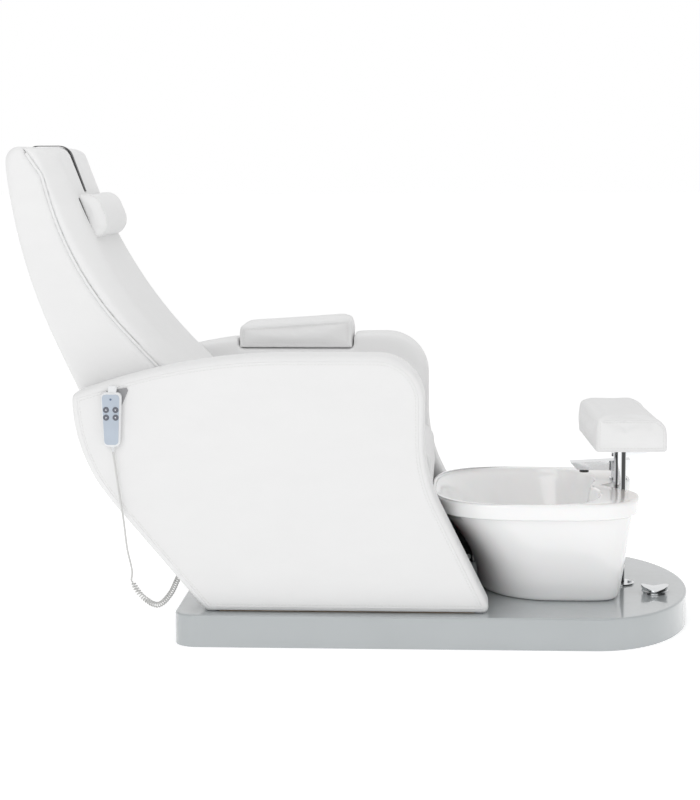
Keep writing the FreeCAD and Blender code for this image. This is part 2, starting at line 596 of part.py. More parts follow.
# ---------------------------------------------------------------- actuators
def make_actuators():
    tube = rod("housing_tube", X_AXIS, "18", ("-400", "0", "act_z"), "225")
    eye = rod("tail_eye", Y_AXIS, "15", ("act_x", "-16", "act_z"), "32")
    motor = rod("motor", X_AXIS, "19", ("-300", "0", "act_z - 44"), "115")
    link = box("gear_case", ("-215", "-16", "act_z - 60"), ("-185", "16", "act_z"))
    bore = rod("housing_bore", X_AXIS, "rod_r + fit", ("-401", "0", "act_z"), "160")
    eye_bore = rod("tail_bore", Y_AXIS, "act_pin_r + fit", ("act_x", "-20", "act_z"), "40")
    subpart(cut("housing", fuse("housing_solid", tube, eye, motor, link), bore, eye_bore),
            "actuator_housing")
    bar = rod("rod_bar", X_AXIS, "rod_r", ("horn_x + 9", "0", "act_z"), "-300 - horn_x - 9")
    ring = rod("rod_eye", Y_AXIS, "act_pin_r + eye_clear + 5", ("horn_x", "-7.5", "act_z"), "15")
    ring_bore = rod("rod_eye_bore", Y_AXIS, "act_pin_r + eye_clear", ("horn_x", "-20", "act_z"), "40")
    subpart(cut("actuator_bar", fuse("rod_solid", bar, ring), ring_bore), "actuator_rod")

    slide_tube = rod("slide_tube", X_AXIS, "15", ("-460", "slide_y", "slide_axis_z"), "200")
    slide_motor = box("slide_motor", ("-462", "slide_y - 45", "275"), ("-400", "slide_y - 10", "325"))
    foot = box("slide_foot", ("-470", "slide_y - 12", "245"), ("-455", "slide_y + 12", "290"))
    slide_bore = rod("slide_bore", X_AXIS, "7 + fit", ("-440", "slide_y", "slide_axis_z"), "190")
    subpart(cut("slide_housing", fuse("slide_solid", slide_tube, slide_motor, foot), slide_bore),
            "slide_actuator")
    subpart(rod("slide_bar", X_AXIS, "7", ("-420", "slide_y", "slide_axis_z"), "220"), "slide_rod")
    subpart(box("controls", ("-420", "70", "base_z"), ("-320", "170", "base_z + 50")), "control_box")


# ---------------------------------------------------------------- foot basin
def basin_ring(z, rear, front, half_y, middle, rear_power, front_power, notch):
    """A closed smooth outline: fuller at the sides, with a bay for the post at the front."""
    points = []
    count = 56
    for i in range(count):
        angle = 2 * math.pi * i / count
        c, s = math.cos(angle), math.sin(angle)
        reach, power = (front - middle, front_power) if c > 0 else (middle - rear, rear_power)
        x = middle + math.copysign(abs(c) ** (2 / power), c) * reach
        y = math.copysign(abs(s) ** (2 / power), s) * half_y
        if c > 0:
            x -= notch * math.exp(-(y / 64) ** 2)
        points.append(Vector(x, y, z))
    curve = Part.BSplineCurve()
    curve.interpolate(points, PeriodicFlag=True)
    return Part.Wire(curve.toShape())


def make_tub():
    rim_z, low = size("tub_rim_z"), size("base_z")
    wall_z = rim_z - size("tub_rim_h")
    out = size("tub_rim_out")
    rings = []
    steps = 5
    for i in range(steps + 1):
        t = i / steps
        rings.append(basin_ring(low + (wall_z - low) * t, 106 - 112 * t * t, 472 + 40 * t, 230 + 69 * t,
                                300 - 50 * t, 2.1 + 0.77 * t, 7 - 3 * t, 70 + 18 * t))
    shell = Part.makeLoft(rings, True, False)
    rim = Part.makeLoft([basin_ring(z, -6 - out, 512 + out, 299 + out, 250, 2.87, 4, 88)
                         for z in (wall_z, rim_z)], True, True)
    floor_z = size("tub_floor_z")
    inner = []
    for i in range(steps + 1):
        t = i / steps
        inner.append(basin_ring(floor_z + (rim_z + 2 - floor_z) * t, 142 - 147 * t ** 1.6, 392 + 34 * t,
                                198 + 99 * t, 290 - 80 * t, 2.1 + 0.8 * t, 3.5, 22))
    hollow = Part.makeLoft(inner, True, False)
    drain = Part.makeCylinder(20.5, 60, Vector(size("tub_drain_x"), 0, low - 20))
    tap_y = size("tap_y")
    top, foot = Vector(482, tap_y, rim_z - 12), Vector(432, tap_y, low - 12)
    duct = Part.makeCylinder(20, (foot - top).Length, top, foot - top)
    tap_hole = Part.makeCylinder(17, 30, Vector(size("tap_x"), tap_y, rim_z - 25))
    solid = shell.fuse(rim).cut(hollow).cut(drain.fuse(duct).fuse(tap_hole))
    subpart(feature("basin", solid.removeSplitter()), "tub")

    flange = rod("drain_flange", Z_AXIS, "30", ("tub_drain_x", "0", "tub_floor_z"), "3")
    tail = rod("drain_tail", Z_AXIS, "20", ("tub_drain_x", "0", "70"), "tub_floor_z - 69")
    seat = rod("drain_seat", Z_AXIS, "23", ("tub_drain_x", "0", "tub_floor_z + 1"), "3")
    bore = rod("drain_bore", Z_AXIS, "16", ("tub_drain_x", "0", "60"), "50")
    subpart(cut("drain", fuse("drain_solid", flange, tail), seat, bore), "tub_drain")
    cap = rod("plug_cap", Z_AXIS, "22.5", ("tub_drain_x", "0", "tub_floor_z + 1.2"), "4")
    stem = rod("plug_stem", Z_AXIS, "5", ("tub_drain_x", "0", "74"), "28")
    subpart(fuse("plug", cap, stem), "drain_plug")

    elbow = rod("elbow", Z_AXIS, "20", ("tub_drain_x", "0", "44"), "25.5")
    hose = rod("hose", X_AXIS, "11", ("base_rear_x", "0", "58"), "tub_drain_x - base_rear_x")
    subpart(fuse("waste", elbow, hose), "drain_hose")
    supply = []
    outlet_z = size("hose_z")
    for side in (-1, 1):
        y = tap_y + size("hose_gap") * side
        slope = Vector(479, y, 318) - Vector(432, y, 75)
        foot_x = 432 - slope.x * (75 - outlet_z) / slope.z
        run = [(479, y, 318), (foot_x, y, outlet_z), (size("base_rear_x"), y, outlet_z)]
        supply.append(feature("supply_hose", bent_hose(run, size("hose_bend"), size("hose_r"))))
    subpart(group("supply", *supply), "water_hoses")


# ---------------------------------------------------------------- tap, footrest, drain knob
def make_tap():
    spout = [("tap_x - 130", "tap_top_z - 9"), ("tap_x - 112", "tap_top_z - 28"),
             ("tap_x + 22", "tap_top_z - 30"), ("tap_x + 32", "tap_top_z - 3"), ("tap_x + 30", "tap_top_z")]
    slab = plate("spout", spout, "spout_wide", "tap_y")
    column = rod("column", Z_AXIS, "20", ("tap_x", "tap_y", "tub_rim_z"), "30")
    foot = rod("tap_foot", Z_AXIS, "25", ("tap_x", "tap_y", "tub_rim_z"), "5")
    tail = rod("tap_tail", Z_AXIS, "16", ("tap_x", "tap_y", "tub_rim_z - 25"), "30")
    nozzle = rod("nozzle_seat", Z_AXIS, "13", ("tap_x - 92", "tap_y", "360"), "18")
    subpart(cut("tap", fuse("tap_casting", slab, column, foot, tail), nozzle), "tap_body")
    subpart(rod("aerator", Z_AXIS, "12.5", ("tap_x - 92", "tap_y", "365"), "13"), "tap_aerator")
    subpart(rod("stem", Z_AXIS, "15", ("tap_x", "tap_y", "tap_top_z + 0.2"), "lever_z - tap_top_z - 0.4"),
            "tap_stem")
    lever = [("tap_x - 20", "lever_z"), ("tap_x + 18", "lever_z"), ("tap_x + 75", "lever_z + 8"),
             ("tap_x + 75", "lever_z + 14"), ("tap_x - 20", "lever_z + 9")]
    subpart(plate("lever", lever, "32", "tap_y", {4: "4"}), "tap_lever")


def turned(body):
    """Rest position of the footrest: swung a little about its post."""
    body.Placement = Placement(Vector(), Rotation(Z_AXIS, size("rest_turn")),
                               Vector(size("post_x"), 0, 0))
    return body


def make_footrest():
    flange = rod("flange_disc", Z_AXIS, "42", ("post_x", "0", "base_z"), "4")
    flange_holes = [rod("flange_hole", Z_AXIS, "3.1", (f"post_x + ({x})", y, "base_z - 1"), "6")
                    for x, y in FLANGE_SCREWS]
    subpart(cut("bored_flange", flange, *flange_holes), "post_flange")
    screws = []
    for x, y in FLANGE_SCREWS:
        shank = rod("flange_shank", Z_AXIS, "3", (f"post_x + ({x})", y, "65"), "base_z - 61")
        head = rod("flange_head", Z_AXIS, "5.5", (f"post_x + ({x})", y, "base_z + 4"), "3.5")
        screws.append(fuse("flange_screw", shank, head))
    subpart(group("flange_screw_set", *screws), "flange_screws")
    tube = rod("post_tube", Z_AXIS, "post_r", ("post_x", "0", "base_z + 4"), "post_top_z - base_z - 4")
    bore = rod("post_tube_bore", Z_AXIS, "post_bore", ("post_x", "0", "base_z + 10"), "post_top_z")
    subpart(cut("post_pipe", tube, bore), "post_outer")
    bush = rod("bush_body", Z_AXIS, "post_bore", ("post_x", "0", "post_top_z - 36"), "36")
    bush_bore = rod("bush_bore", Z_AXIS, "post_inner_r + fit", ("post_x", "0", "400"), "80")
    subpart(cut("bush", bush, bush_bore), "post_bush")
    subpart(rod("inner_post", Z_AXIS, "post_inner_r", ("post_x", "0", "150"), "rest_z - 150"), "post_inner")

    hub = rod("hub", Z_AXIS, "22", ("post_x", "0", "post_top_z + 0.5"), "8")
    board = box("rest_plate", ("post_x - 60", "-90", "rest_z - 4"), ("post_x + 60", "90", "rest_z"))
    hub_bore = rod("hub_bore", Z_AXIS, "post_inner_r + fit", ("post_x", "0", "440"), "40")
    subpart(turned(cut("rest_plate_bored", fuse("rest_plate_solid", hub, board), hub_bore)),
            "footrest_plate")
    sheet_edge = [("post_x - 72", "rest_z + 0.2"), ("post_x + 72", "rest_z + 0.2"),
                  ("post_x + 72", "rest_z + 12"), ("post_x - 72", "rest_z + 12")]
    subpart(turned(plate("rest_board", sheet_edge, "360")), "footrest_board")
    corners = [("post_x + 3 - rest_x / 2", "rest_z"), ("post_x + 3 + rest_x / 2", "rest_z"),
               ("post_x + 3 + rest_x / 2", "rest_top_z"), ("post_x + 3 - rest_x / 2", "rest_top_z")]
    pillow = plate("rest_pillow", corners, "rest_y", radii={2: "40", 3: "14", 0: "8", 1: "8"})

    def end_edge(edge):
        return on_side_face(edge, (size("rest_y") / 2,))
    fillet(pillow, end_edge, "7")
    recess = polygon(pillow, "XY_Plane", [("post_x - 73", "-181"), ("post_x + 73", "-181"),
                                          ("post_x + 73", "181"), ("post_x - 73", "181")], "rest_z + 13")
    extrude("Pocket", pillow, recess, "20", middle=False)
    subpart(turned(pillow), "footrest_pillow")


def make_drain_knob():
    collar = rod("collar_disc", Z_AXIS, "30", ("knob_x", "knob_y", "base_z"), "5")
    neck = rod("collar_neck", Z_AXIS, "8.5", ("knob_x", "knob_y", "60"), "base_z - 58")
    bore = rod("collar_bore", Z_AXIS, "5 + fit", ("knob_x", "knob_y", "50"), "60")
    subpart(cut("collar", fuse("collar_solid", collar, neck), bore), "knob_collar")
    stem = rod("knob_stem", Z_AXIS, "5", ("knob_x", "knob_y", "62"), "base_z - 50")
    dish = doc.addObject("Part::Cone", "knob_dish")
    dish.setExpression("Radius1", bound("knob_r - 8"))
    dish.setExpression("Radius2", bound("knob_r"))
    dish.setExpression("Height", bound("18"))
    for letter, formula in zip("xyz", ("knob_x", "knob_y", "base_z + 6")):
        dish.setExpression("Placement.Base." + letter, bound(formula))
    scoop = rod("knob_scoop", Y_AXIS, "34", ("knob_x", "knob_y - 50", "base_z + 47"), "100")
    subpart(cut("knob", fuse("knob_solid", stem, dish), scoop), "drain_knob")


# ---------------------------------------------------------------- handset
def make_handset():
    front_y = "(hand_back_y - hand_thick)"
    middle = "(hand_back_y - hand_thick / 2)"
    outline = [("hand_x - 27", "hand_top_z"), ("hand_x + 27", "hand_top_z"),
               ("hand_x + 21", "hand_low_z"), ("hand_x - 21", "hand_low_z")]
    shell = plate("shell", outline, "hand_thick", middle, {0: "12", 1: "12", 2: "12", 3: "12"})
    neck = box("neck", ("hand_x - 8", "hand_back_y - 14", "hand_top_z - 1"),
               ("hand_x + 15", "hand_back_y - 4", "hand_top_z + 16"))
    relief = rod("relief", Z_AXIS, "4.5", ("hand_x + 2", "hand_back_y - 10", "hand_low_z - 14"), "15")
    places = {"back_up": ("hand_x - button_dx", "button_up_z"),
              "back_down": ("hand_x + button_dx", "button_up_z"),
              "seat_forward": ("hand_x - button_dx", "button_low_z"),
              "seat_rearward": ("hand_x + button_dx", "button_low_z")}
    wells = [rod("well", Y_AXIS, "button_r + 0.3", (x, f"{front_y} - 1", z), "5")
             for x, z in places.values()]
    subpart(cut("shell_bored", fuse("shell_solid", shell, neck, relief), *wells), "handset_shell")
    face_outline = [("hand_x - 22", "hand_top_z - 5"), ("hand_x + 22", "hand_top_z - 5"),
                    ("hand_x + 17", "hand_low_z + 6"), ("hand_x - 17", "hand_low_z + 6")]
    face = plate("face", face_outline, "1.5", f"{front_y} - 0.75", {0: "9", 1: "9", 2: "9", 3: "9"})
    windows = [rod("window", Y_AXIS, "button_r + 0.2", (x, f"{front_y} - 5", z), "10")
               for x, z in places.values()]
    subpart(cut("face_bored", face, *windows), "handset_face")
    for name, (x, z) in places.items():
        subpart(rod(name, Y_AXIS, "button_r", (x, f"{front_y} - 3", z), "4"), "button_" + name)

    holder = [("hand_x - 14", "575"), ("hand_x + 12", "575"), ("hand_x + 40", "640"),
              ("hand_x + 37", "647"), ("hand_x - 14", "638")]
    subpart(plate("holder", holder, "4", "hand_back_y + 2.6", {0: "5", 1: "5"}), "handset_holder")

    x, y, z = size("hand_x") + 2, size("hand_back_y") - 10, size("hand_low_z") - 16
    straight = [(x, y, z), (x + 13, y, z - 98), (x + 23, y, z - 171), (x + 31, y, z - 244),
                (x + 42, y, z - 298), (x + 40, y, z - 326)]
    loop = [(x + 44, y, z - 329), (x + 69, y, z - 368), (x + 102, y + 30, z - 394),
            (x + 127, y + 75, z - 375), (x + 141, y + 125, z - 342), (x + 154, y + 150, z - 320)]
    cord = [feature("cord_straight", pipe(straight, 2.5)), feature("cord_coil", pipe(loop, 7))]
    subpart(group("cord", *cord), "handset_cord")


# ---------------------------------------------------------------- build, check and write
def check_document():
    doc.recompute()
    for obj in doc.Objects:
        if {"Invalid", "Error"} & set(obj.State):
            raise RuntimeError(f"{obj.Label}: {obj.State}")
    for obj in SUBPARTS:
        if obj.Shape.isNull() or not obj.Shape.isValid():
            raise RuntimeError(f"{obj.Label}: its shape is null or not valid")


def write_parts():
    os.makedirs("parts", exist_ok=True)
    for obj in SUBPARTS:
        obj.Shape.exportStep(f"parts/{obj.Label}.step")


for make in (make_plinth, make_sides, make_arm_pad, make_footwell, make_seat, make_backrest,
             make_head_pillow, make_actuators, make_tub, make_tap, make_footrest,
             make_drain_knob, make_handset):
    make()
check_document()
write_parts()
print(len(SUBPARTS), "sub-parts written")
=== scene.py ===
"""Looks of the pedicure spa chair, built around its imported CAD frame.

Metres. +X is the way the sitter faces, +Y is the sitter's left, +Z is up.
"""
import json
import math

import bmesh
import bpy
import numpy as np
from mathutils import Matrix, Vector, noise
from mathutils.bvhtree import BVHTree
from mathutils.kdtree import KDTree


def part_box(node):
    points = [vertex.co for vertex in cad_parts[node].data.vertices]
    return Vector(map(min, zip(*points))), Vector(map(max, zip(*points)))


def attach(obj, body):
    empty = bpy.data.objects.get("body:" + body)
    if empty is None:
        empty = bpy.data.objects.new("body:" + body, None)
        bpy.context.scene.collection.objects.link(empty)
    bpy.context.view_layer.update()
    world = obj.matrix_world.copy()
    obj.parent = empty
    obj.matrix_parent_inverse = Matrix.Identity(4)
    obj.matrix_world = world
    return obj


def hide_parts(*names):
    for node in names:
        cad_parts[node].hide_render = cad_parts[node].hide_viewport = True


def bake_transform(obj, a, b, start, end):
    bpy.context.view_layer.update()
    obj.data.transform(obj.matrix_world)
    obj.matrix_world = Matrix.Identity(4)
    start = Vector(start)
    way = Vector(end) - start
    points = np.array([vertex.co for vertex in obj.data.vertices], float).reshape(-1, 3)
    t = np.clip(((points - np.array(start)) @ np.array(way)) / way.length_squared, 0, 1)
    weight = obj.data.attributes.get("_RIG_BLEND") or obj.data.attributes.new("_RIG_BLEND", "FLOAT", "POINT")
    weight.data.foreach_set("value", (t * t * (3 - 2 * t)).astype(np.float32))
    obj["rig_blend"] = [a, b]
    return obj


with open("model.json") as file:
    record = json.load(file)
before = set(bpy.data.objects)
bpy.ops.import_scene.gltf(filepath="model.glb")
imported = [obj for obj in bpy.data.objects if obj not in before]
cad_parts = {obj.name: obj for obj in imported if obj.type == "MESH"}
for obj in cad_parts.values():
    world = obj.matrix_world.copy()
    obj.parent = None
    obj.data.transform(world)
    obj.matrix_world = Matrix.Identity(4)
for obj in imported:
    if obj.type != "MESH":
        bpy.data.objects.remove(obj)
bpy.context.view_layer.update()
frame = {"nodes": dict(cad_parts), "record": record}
NODES = frame["nodes"]
MM = 0.001
UP = Vector((0, 0, 1))
ACROSS = Vector((0, 1, 0))
TURN = 2 * math.pi
SIDES = (("left", 1), ("right", -1))
SCENE = bpy.context.scene


# ---------------------------------------------------------------- materials
class Shader:
    """A principled material put together from procedural nodes, in object coordinates."""

    def __init__(self, name, colour, roughness, **inputs):
        self.material = bpy.data.materials.new(name)
        self.material.use_nodes = True
        self.tree = self.material.node_tree
        self.surface = self.tree.nodes["Principled BSDF"]
        self.where = self.tree.nodes.new("ShaderNodeTexCoord").outputs["Object"]
        self.normal = None
        self.set(self.surface, Base_Color=(*colour, 1), Roughness=roughness, **inputs)

    def set(self, node, **values):
        for key, value in values.items():
            socket = node.inputs.get(key.replace("_", " "))
            if socket is None:
                setattr(node, key, value)
            elif isinstance(value, bpy.types.NodeSocket):
                self.tree.links.new(value, socket)
            else:
                socket.default_value = value
        return node

    def node(self, kind, **values):
        return self.set(self.tree.nodes.new("ShaderNode" + kind), **values)

    def stretched(self, scale):
        return self.node("Mapping", Vector=self.where, Scale=scale).outputs["Vector"]

    def noise(self, scale, detail=3.0, vector=None):
        made = self.node("TexNoise", Vector=vector or self.where, Scale=scale, Detail=detail)
        return made.outputs["Fac"]

    def cells(self, scale):
        return self.node("TexVoronoi", Vector=self.where, Scale=scale).outputs["Distance"]

    def stripes(self, scale, axis, warp=0.0):
        made = self.node("TexWave", Vector=self.where, Scale=scale, Distortion=warp,
                         bands_direction=axis)
        return made.outputs["Fac"]

    def ranged(self, value, low, high, start=0.0, end=1.0):
        made = self.node("MapRange", Value=value)
        made.inputs["From Min"].default_value = start
        made.inputs["From Max"].default_value = end
        made.inputs["To Min"].default_value = low
        made.inputs["To Max"].default_value = high
        return made.outputs["Result"]

    def bump(self, height, depth):
        """Add a relief of a real depth in metres on top of any earlier one."""
        made = self.node("Bump", Height=height, Distance=depth, Strength=1.0)
        if self.normal:
            self.tree.links.new(self.normal, made.inputs["Normal"])
        self.normal = made.outputs["Normal"]
        self.tree.links.new(self.normal, self.surface.inputs["Normal"])
        return self

    def roughness(self, value, low, high):
        self.tree.links.new(self.ranged(value, low, high), self.surface.inputs["Roughness"])
        return self

    def tint(self, value, dark, light, start=0.3, end=0.7):
        """Vary the colour between two by a pattern."""
        mix = self.node("MixRGB", Fac=self.ranged(value, 0.0, 1.0, start, end),
                        Color1=(*dark, 1), Color2=(*light, 1))
        self.tree.links.new(mix.outputs["Color"], self.surface.inputs["Base Color"])
        return self

    def worn_edges(self, amount):
        """Brighten what stands proud, as rubbing does."""
        shape = self.node("NewGeometry").outputs["Pointiness"]
        edge = self.ranged(shape, 0.0, amount, 0.52, 0.60)
        before = self.surface.inputs["Base Color"]
        mix = self.node("MixRGB", blend_type="ADD", Fac=edge, Color2=(1, 1, 1, 1))
        if before.links:
            self.tree.links.new(before.links[0].from_socket, mix.inputs["Color1"])
        else:
            mix.inputs["Color1"].default_value = before.default_value
        self.tree.links.new(mix.outputs["Color"], before)
        return self


def leatherette(name, value):
    """Soft coated fabric: pebbled grain, faint creases and a slightly uneven sheen."""
    made = Shader(name, (value,) * 3, 0.5, Sheen_Weight=0.08, Sheen_Roughness=0.5)
    creases = made.noise(9.0, 4.0, made.stretched((1.0, 1.0, 2.2)))
    made.tint(creases, (value * 0.985,) * 3, (value,) * 3)
    made.roughness(made.noise(60.0), 0.42, 0.58)
    made.bump(creases, 0.7 * MM).bump(made.cells(640.0), 0.10 * MM)
    return made.material


def lacquer(name, colour):
    """Glossy lacquer with a slight orange peel and fine handling marks."""
    made = Shader(name, colour, 0.22, Coat_Weight=0.8, Coat_Roughness=0.04)
    made.tint(made.noise(5.0), [c * 0.96 for c in colour], colour)
    made.roughness(made.noise(38.0, 5.0), 0.16, 0.30)
    made.bump(made.noise(150.0, 2.0), 0.05 * MM)
    return made.worn_edges(0.03).material


def acrylic(name, value):
    """Gloss sanitary acrylic: nearly flat, with faint draw marks from the mould."""
    made = Shader(name, (value,) * 3, 0.16, Coat_Weight=0.6, Coat_Roughness=0.05)
    made.surface.inputs["Subsurface Weight"].default_value = 0.04
    made.tint(made.noise(4.0), (value * 0.98,) * 3, (value,) * 3)
    made.roughness(made.noise(30.0), 0.12, 0.22)
    made.bump(made.noise(22.0, 2.0), 0.10 * MM)
    return made.material


# painted reflection: bright walls with dark gaps at either hand, painted into the chrome's colour by the way
# each point mirrors
PAINTED_REFLECTION_BANDS = ((0.00, 0.72), (0.03, 0.10), (0.12, 0.10), (0.16, 0.85), (0.30, 0.80),
                (0.35, 0.06), (0.56, 0.08), (0.62, 0.62), (0.75, 0.78), (1.00, 0.72))


def chrome(name):
    """Polished chrome with fine smears and hairline polishing marks, and a painted reflection of bright
    walls and dark gaps in its colour.
    """
    made = Shader(name, (0.66, 0.67, 0.69), 0.05, Metallic=1.0)
    mirrored = made.tree.nodes.new("ShaderNodeTexCoord").outputs["Reflection"]
    around = made.node("TexGradient", Vector=mirrored, gradient_type="RADIAL")
    painted_reflection = made.node("ValToRGB", Fac=around.outputs["Fac"])
    for i, (at, value) in enumerate(PAINTED_REFLECTION_BANDS):
        stop = painted_reflection.color_ramp.elements[i] if i < 2 else painted_reflection.color_ramp.elements.new(at)
        stop.position = at
        stop.color = (value * 0.97, value * 0.985, value, 1)
    # the bands go into the base colour: a painted reflection that follows the view
    made.tree.links.new(painted_reflection.outputs["Color"], made.surface.inputs["Base Color"])
    made.roughness(made.noise(45.0, 5.0), 0.03, 0.12)
    made.bump(made.noise(400.0, 2.0, made.stretched((1.0, 1.0, 0.06))), 0.006 * MM)
    return made.material


def zinc(name):
    """Bright zinc plating with its small spangle and rolling marks."""
    made = Shader(name, (0.60, 0.61, 0.63), 0.34, Metallic=1.0)
    made.tint(made.cells(160.0), (0.52, 0.53, 0.56), (0.66, 0.67, 0.68), 0.0, 0.6)
    made.bump(made.noise(500.0, 2.0, made.stretched((0.05, 1.0, 1.0))), 0.02 * MM)
    return made.material


def powder_coat(name):
    """Dark powder coat, finely dimpled and rubbed at its edges."""
    made = Shader(name, (0.030, 0.030, 0.033), 0.45)
    made.tint(made.noise(14.0), (0.024, 0.024, 0.026), (0.040, 0.040, 0.044))
    made.bump(made.noise(900.0, 2.0), 0.05 * MM)
    return made.worn_edges(0.10).material


def moulded(name, colour, rough=0.42):
    """Moulded plastic with a spark-eroded texture."""
    made = Shader(name, colour, rough)
    made.tint(made.noise(20.0), [c * 0.93 for c in colour], colour)
    made.roughness(made.noise(80.0), rough - 0.07, rough + 0.08)
    made.bump(made.noise(1400.0, 2.0), 0.03 * MM)
    return made.worn_edges(0.04).material


def lining(name):
    """Black non-woven cloth."""
    made = Shader(name, (0.012, 0.012, 0.013), 0.9, Sheen_Weight=0.25)
    made.tint(made.noise(420.0, 4.0), (0.007, 0.007, 0.008), (0.022, 0.022, 0.024))
    made.bump(made.noise(520.0, 4.0), 0.3 * MM)
    return made.material


def webbing(name):
    """Elastic webbing: ribs across, threads along."""
    made = Shader(name, (0.014, 0.014, 0.016), 0.8, Sheen_Weight=0.3)
    made.tint(made.stripes(190.0, "Y"), (0.008, 0.008, 0.009), (0.026, 0.026, 0.029))
    made.bump(made.stripes(190.0, "Y"), 0.2 * MM).bump(made.stripes(330.0, "Z"), 0.2 * MM)
    return made.material


def plywood(name):
    """Birch plywood: long grain, and the plies showing on its edges."""
    made = Shader(name, (0.50, 0.34, 0.19), 0.62)
    grain = made.noise(26.0, 6.0, made.stretched((0.25, 2.0, 3.0)))
    made.tint(grain, (0.40, 0.26, 0.13), (0.60, 0.43, 0.26))
    made.bump(grain, 0.3 * MM).bump(made.stripes(110.0, "Z", 0.4), 0.15 * MM)
    return made.material


def braided(name):
    """Hose in a braided sleeve."""
    made = Shader(name, (0.10, 0.10, 0.11), 0.5)
    made.tint(made.stripes(160.0, "DIAGONAL"), (0.07, 0.07, 0.08), (0.17, 0.17, 0.18))
    made.bump(made.stripes(160.0, "DIAGONAL"), 0.4 * MM)
    return made.material


def glowing(name, colour, strength):
    """A lens that is lit a little from within."""
    made = Shader(name, colour, 0.3, Emission_Strength=strength)
    made.surface.inputs["Emission Color"].default_value = (*colour, 1)
    made.bump(made.noise(900.0), 0.02 * MM)
    return made.material


WHITE_LEATHER = leatherette("white_leatherette", 0.80)
THREAD = moulded("sewing_thread", (0.72, 0.72, 0.71), 0.7)
ACRYLIC = acrylic("white_acrylic", 0.92)
CHROME = chrome("chrome")
WEBBING = webbing("black_strap")
GLOSS_WHITE = moulded("white_plastic", (0.78, 0.79, 0.80), 0.22)
BUTTON_GREY = moulded("button_grey", (0.13, 0.14, 0.17), 0.5)
ICON = moulded("button_mark", (0.62, 0.64, 0.68), 0.5)
# the cord is a grey copy of the handset's white plastic: painted shade for the shade along and between its
# coils
CORD_PAINTED_SHADE = moulded("cord_sheath_painted_shade", (0.60, 0.60, 0.59), 0.35)
LED = glowing("indicator_lens", (0.10, 0.14, 0.22), 0.1)
SLOT_LOOKS = {
    "lacquer_grey": lacquer("lacquer_grey", (0.415, 0.44, 0.45)),
    "plywood": plywood("plywood"),
    "painted_steel": powder_coat("painted_steel"),
    "white_leatherette": WHITE_LEATHER,
    "black_lining": lining("black_lining"),
    "black_strap": WEBBING,
    "zinc_steel": zinc("zinc_steel"),
    "black_plastic": moulded("black_plastic", (0.020, 0.020, 0.022)),
    "white_acrylic": ACRYLIC,
    "chrome": CHROME,
    "grey_rubber": braided("grey_rubber"),
    "white_plastic": GLOSS_WHITE,
    "handset_blue": moulded("handset_blue", (0.47, 0.53, 0.61), 0.36),
    "button_grey": BUTTON_GREY,
    # the handset holder takes this grey: a grey wedge beside the handset where it casts its shadow on the
    # arm, painted shadow
    "grey_plastic": moulded("grey_plastic", (0.30, 0.30, 0.31)),
}


# ---------------------------------------------------------------- mesh helpers
def finish_piece(obj, material, body):
    """Give a finished piece its look and its body."""
    obj.data.materials.clear()
    obj.data.materials.append(material)
    obj.data.shade_smooth()
    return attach(obj, body)


def new_object(name, vertices, faces):
    """A piece from bare points and faces, its faces all turned outwards."""
    mesh = bpy.data.meshes.new(name)
    mesh.from_pydata([tuple(v) for v in vertices], [], faces)
    mesh.validate()
    work = bmesh.new()
    work.from_mesh(mesh)
    bmesh.ops.recalc_face_normals(work, faces=work.faces)
    work.to_mesh(mesh)
    work.free()
    obj = bpy.data.objects.new(name, mesh)
    SCENE.collection.objects.link(obj)
    return obj


def settle(obj):
    """Apply every modifier."""
    graph = bpy.context.evaluated_depsgraph_get()
    mesh = bpy.data.meshes.new_from_object(obj.evaluated_get(graph))
    obj.modifiers.clear()
    obj.data = mesh
    return obj


def subdivide(obj, levels=1):
    made = obj.modifiers.new("Subdivision", "SUBSURF")
    made.levels = levels
    made.render_levels = levels
    return settle(obj)


def points_of(obj):
    flat = np.empty(len(obj.data.vertices) * 3)
    obj.data.vertices.foreach_get("co", flat)
    return flat.reshape(-1, 3)


def put_points(obj, points):
    obj.data.vertices.foreach_set("co", np.asarray(points, float).ravel())
    obj.data.update()


def normals_of(obj):
    flat = np.empty(len(obj.data.vertices) * 3)
    obj.data.vertex_normals.foreach_get("vector", flat)
    return flat.reshape(-1, 3)


def drop_custom_normals(mesh):
    """Forget the normals that came with a CAD mesh, so that it can be shaded afresh."""
    for custom in [a for a in mesh.attributes if a.name == "custom_normal"]:
        mesh.attributes.remove(custom)


def welded(node, name):
    """A new object with the CAD node's shape, its surfaces sewn together."""
    mesh = NODES[node].data.copy()
    work = bmesh.new()
    work.from_mesh(mesh)
    bmesh.ops.remove_doubles(work, verts=work.verts, dist=0.01 * MM)
    work.to_mesh(mesh)
    work.free()
    drop_custom_normals(mesh)
    obj = bpy.data.objects.new(name, mesh)
    SCENE.collection.objects.link(obj)
    return obj


def crease_points(obj, angle=0.6, step=4 * MM):
    """Points along the edges where the CAD solid's faces meet at an angle: its seams."""
    work = bmesh.new()
    work.from_mesh(obj.data)
    found = []
    for edge in work.edges:
        if len(edge.link_faces) == 2 and edge.calc_face_angle(0.0) > angle:
            a, b = edge.verts[0].co, edge.verts[1].co
            count = max(1, int((b - a).length / step))
            found += [a.lerp(b, i / count) for i in range(count + 1)]
    work.free()
    return found


def tree_of(points):
    tree = KDTree(len(points))
    for i, point in enumerate(points):
        tree.insert(point, i)
    tree.balance()
    return tree


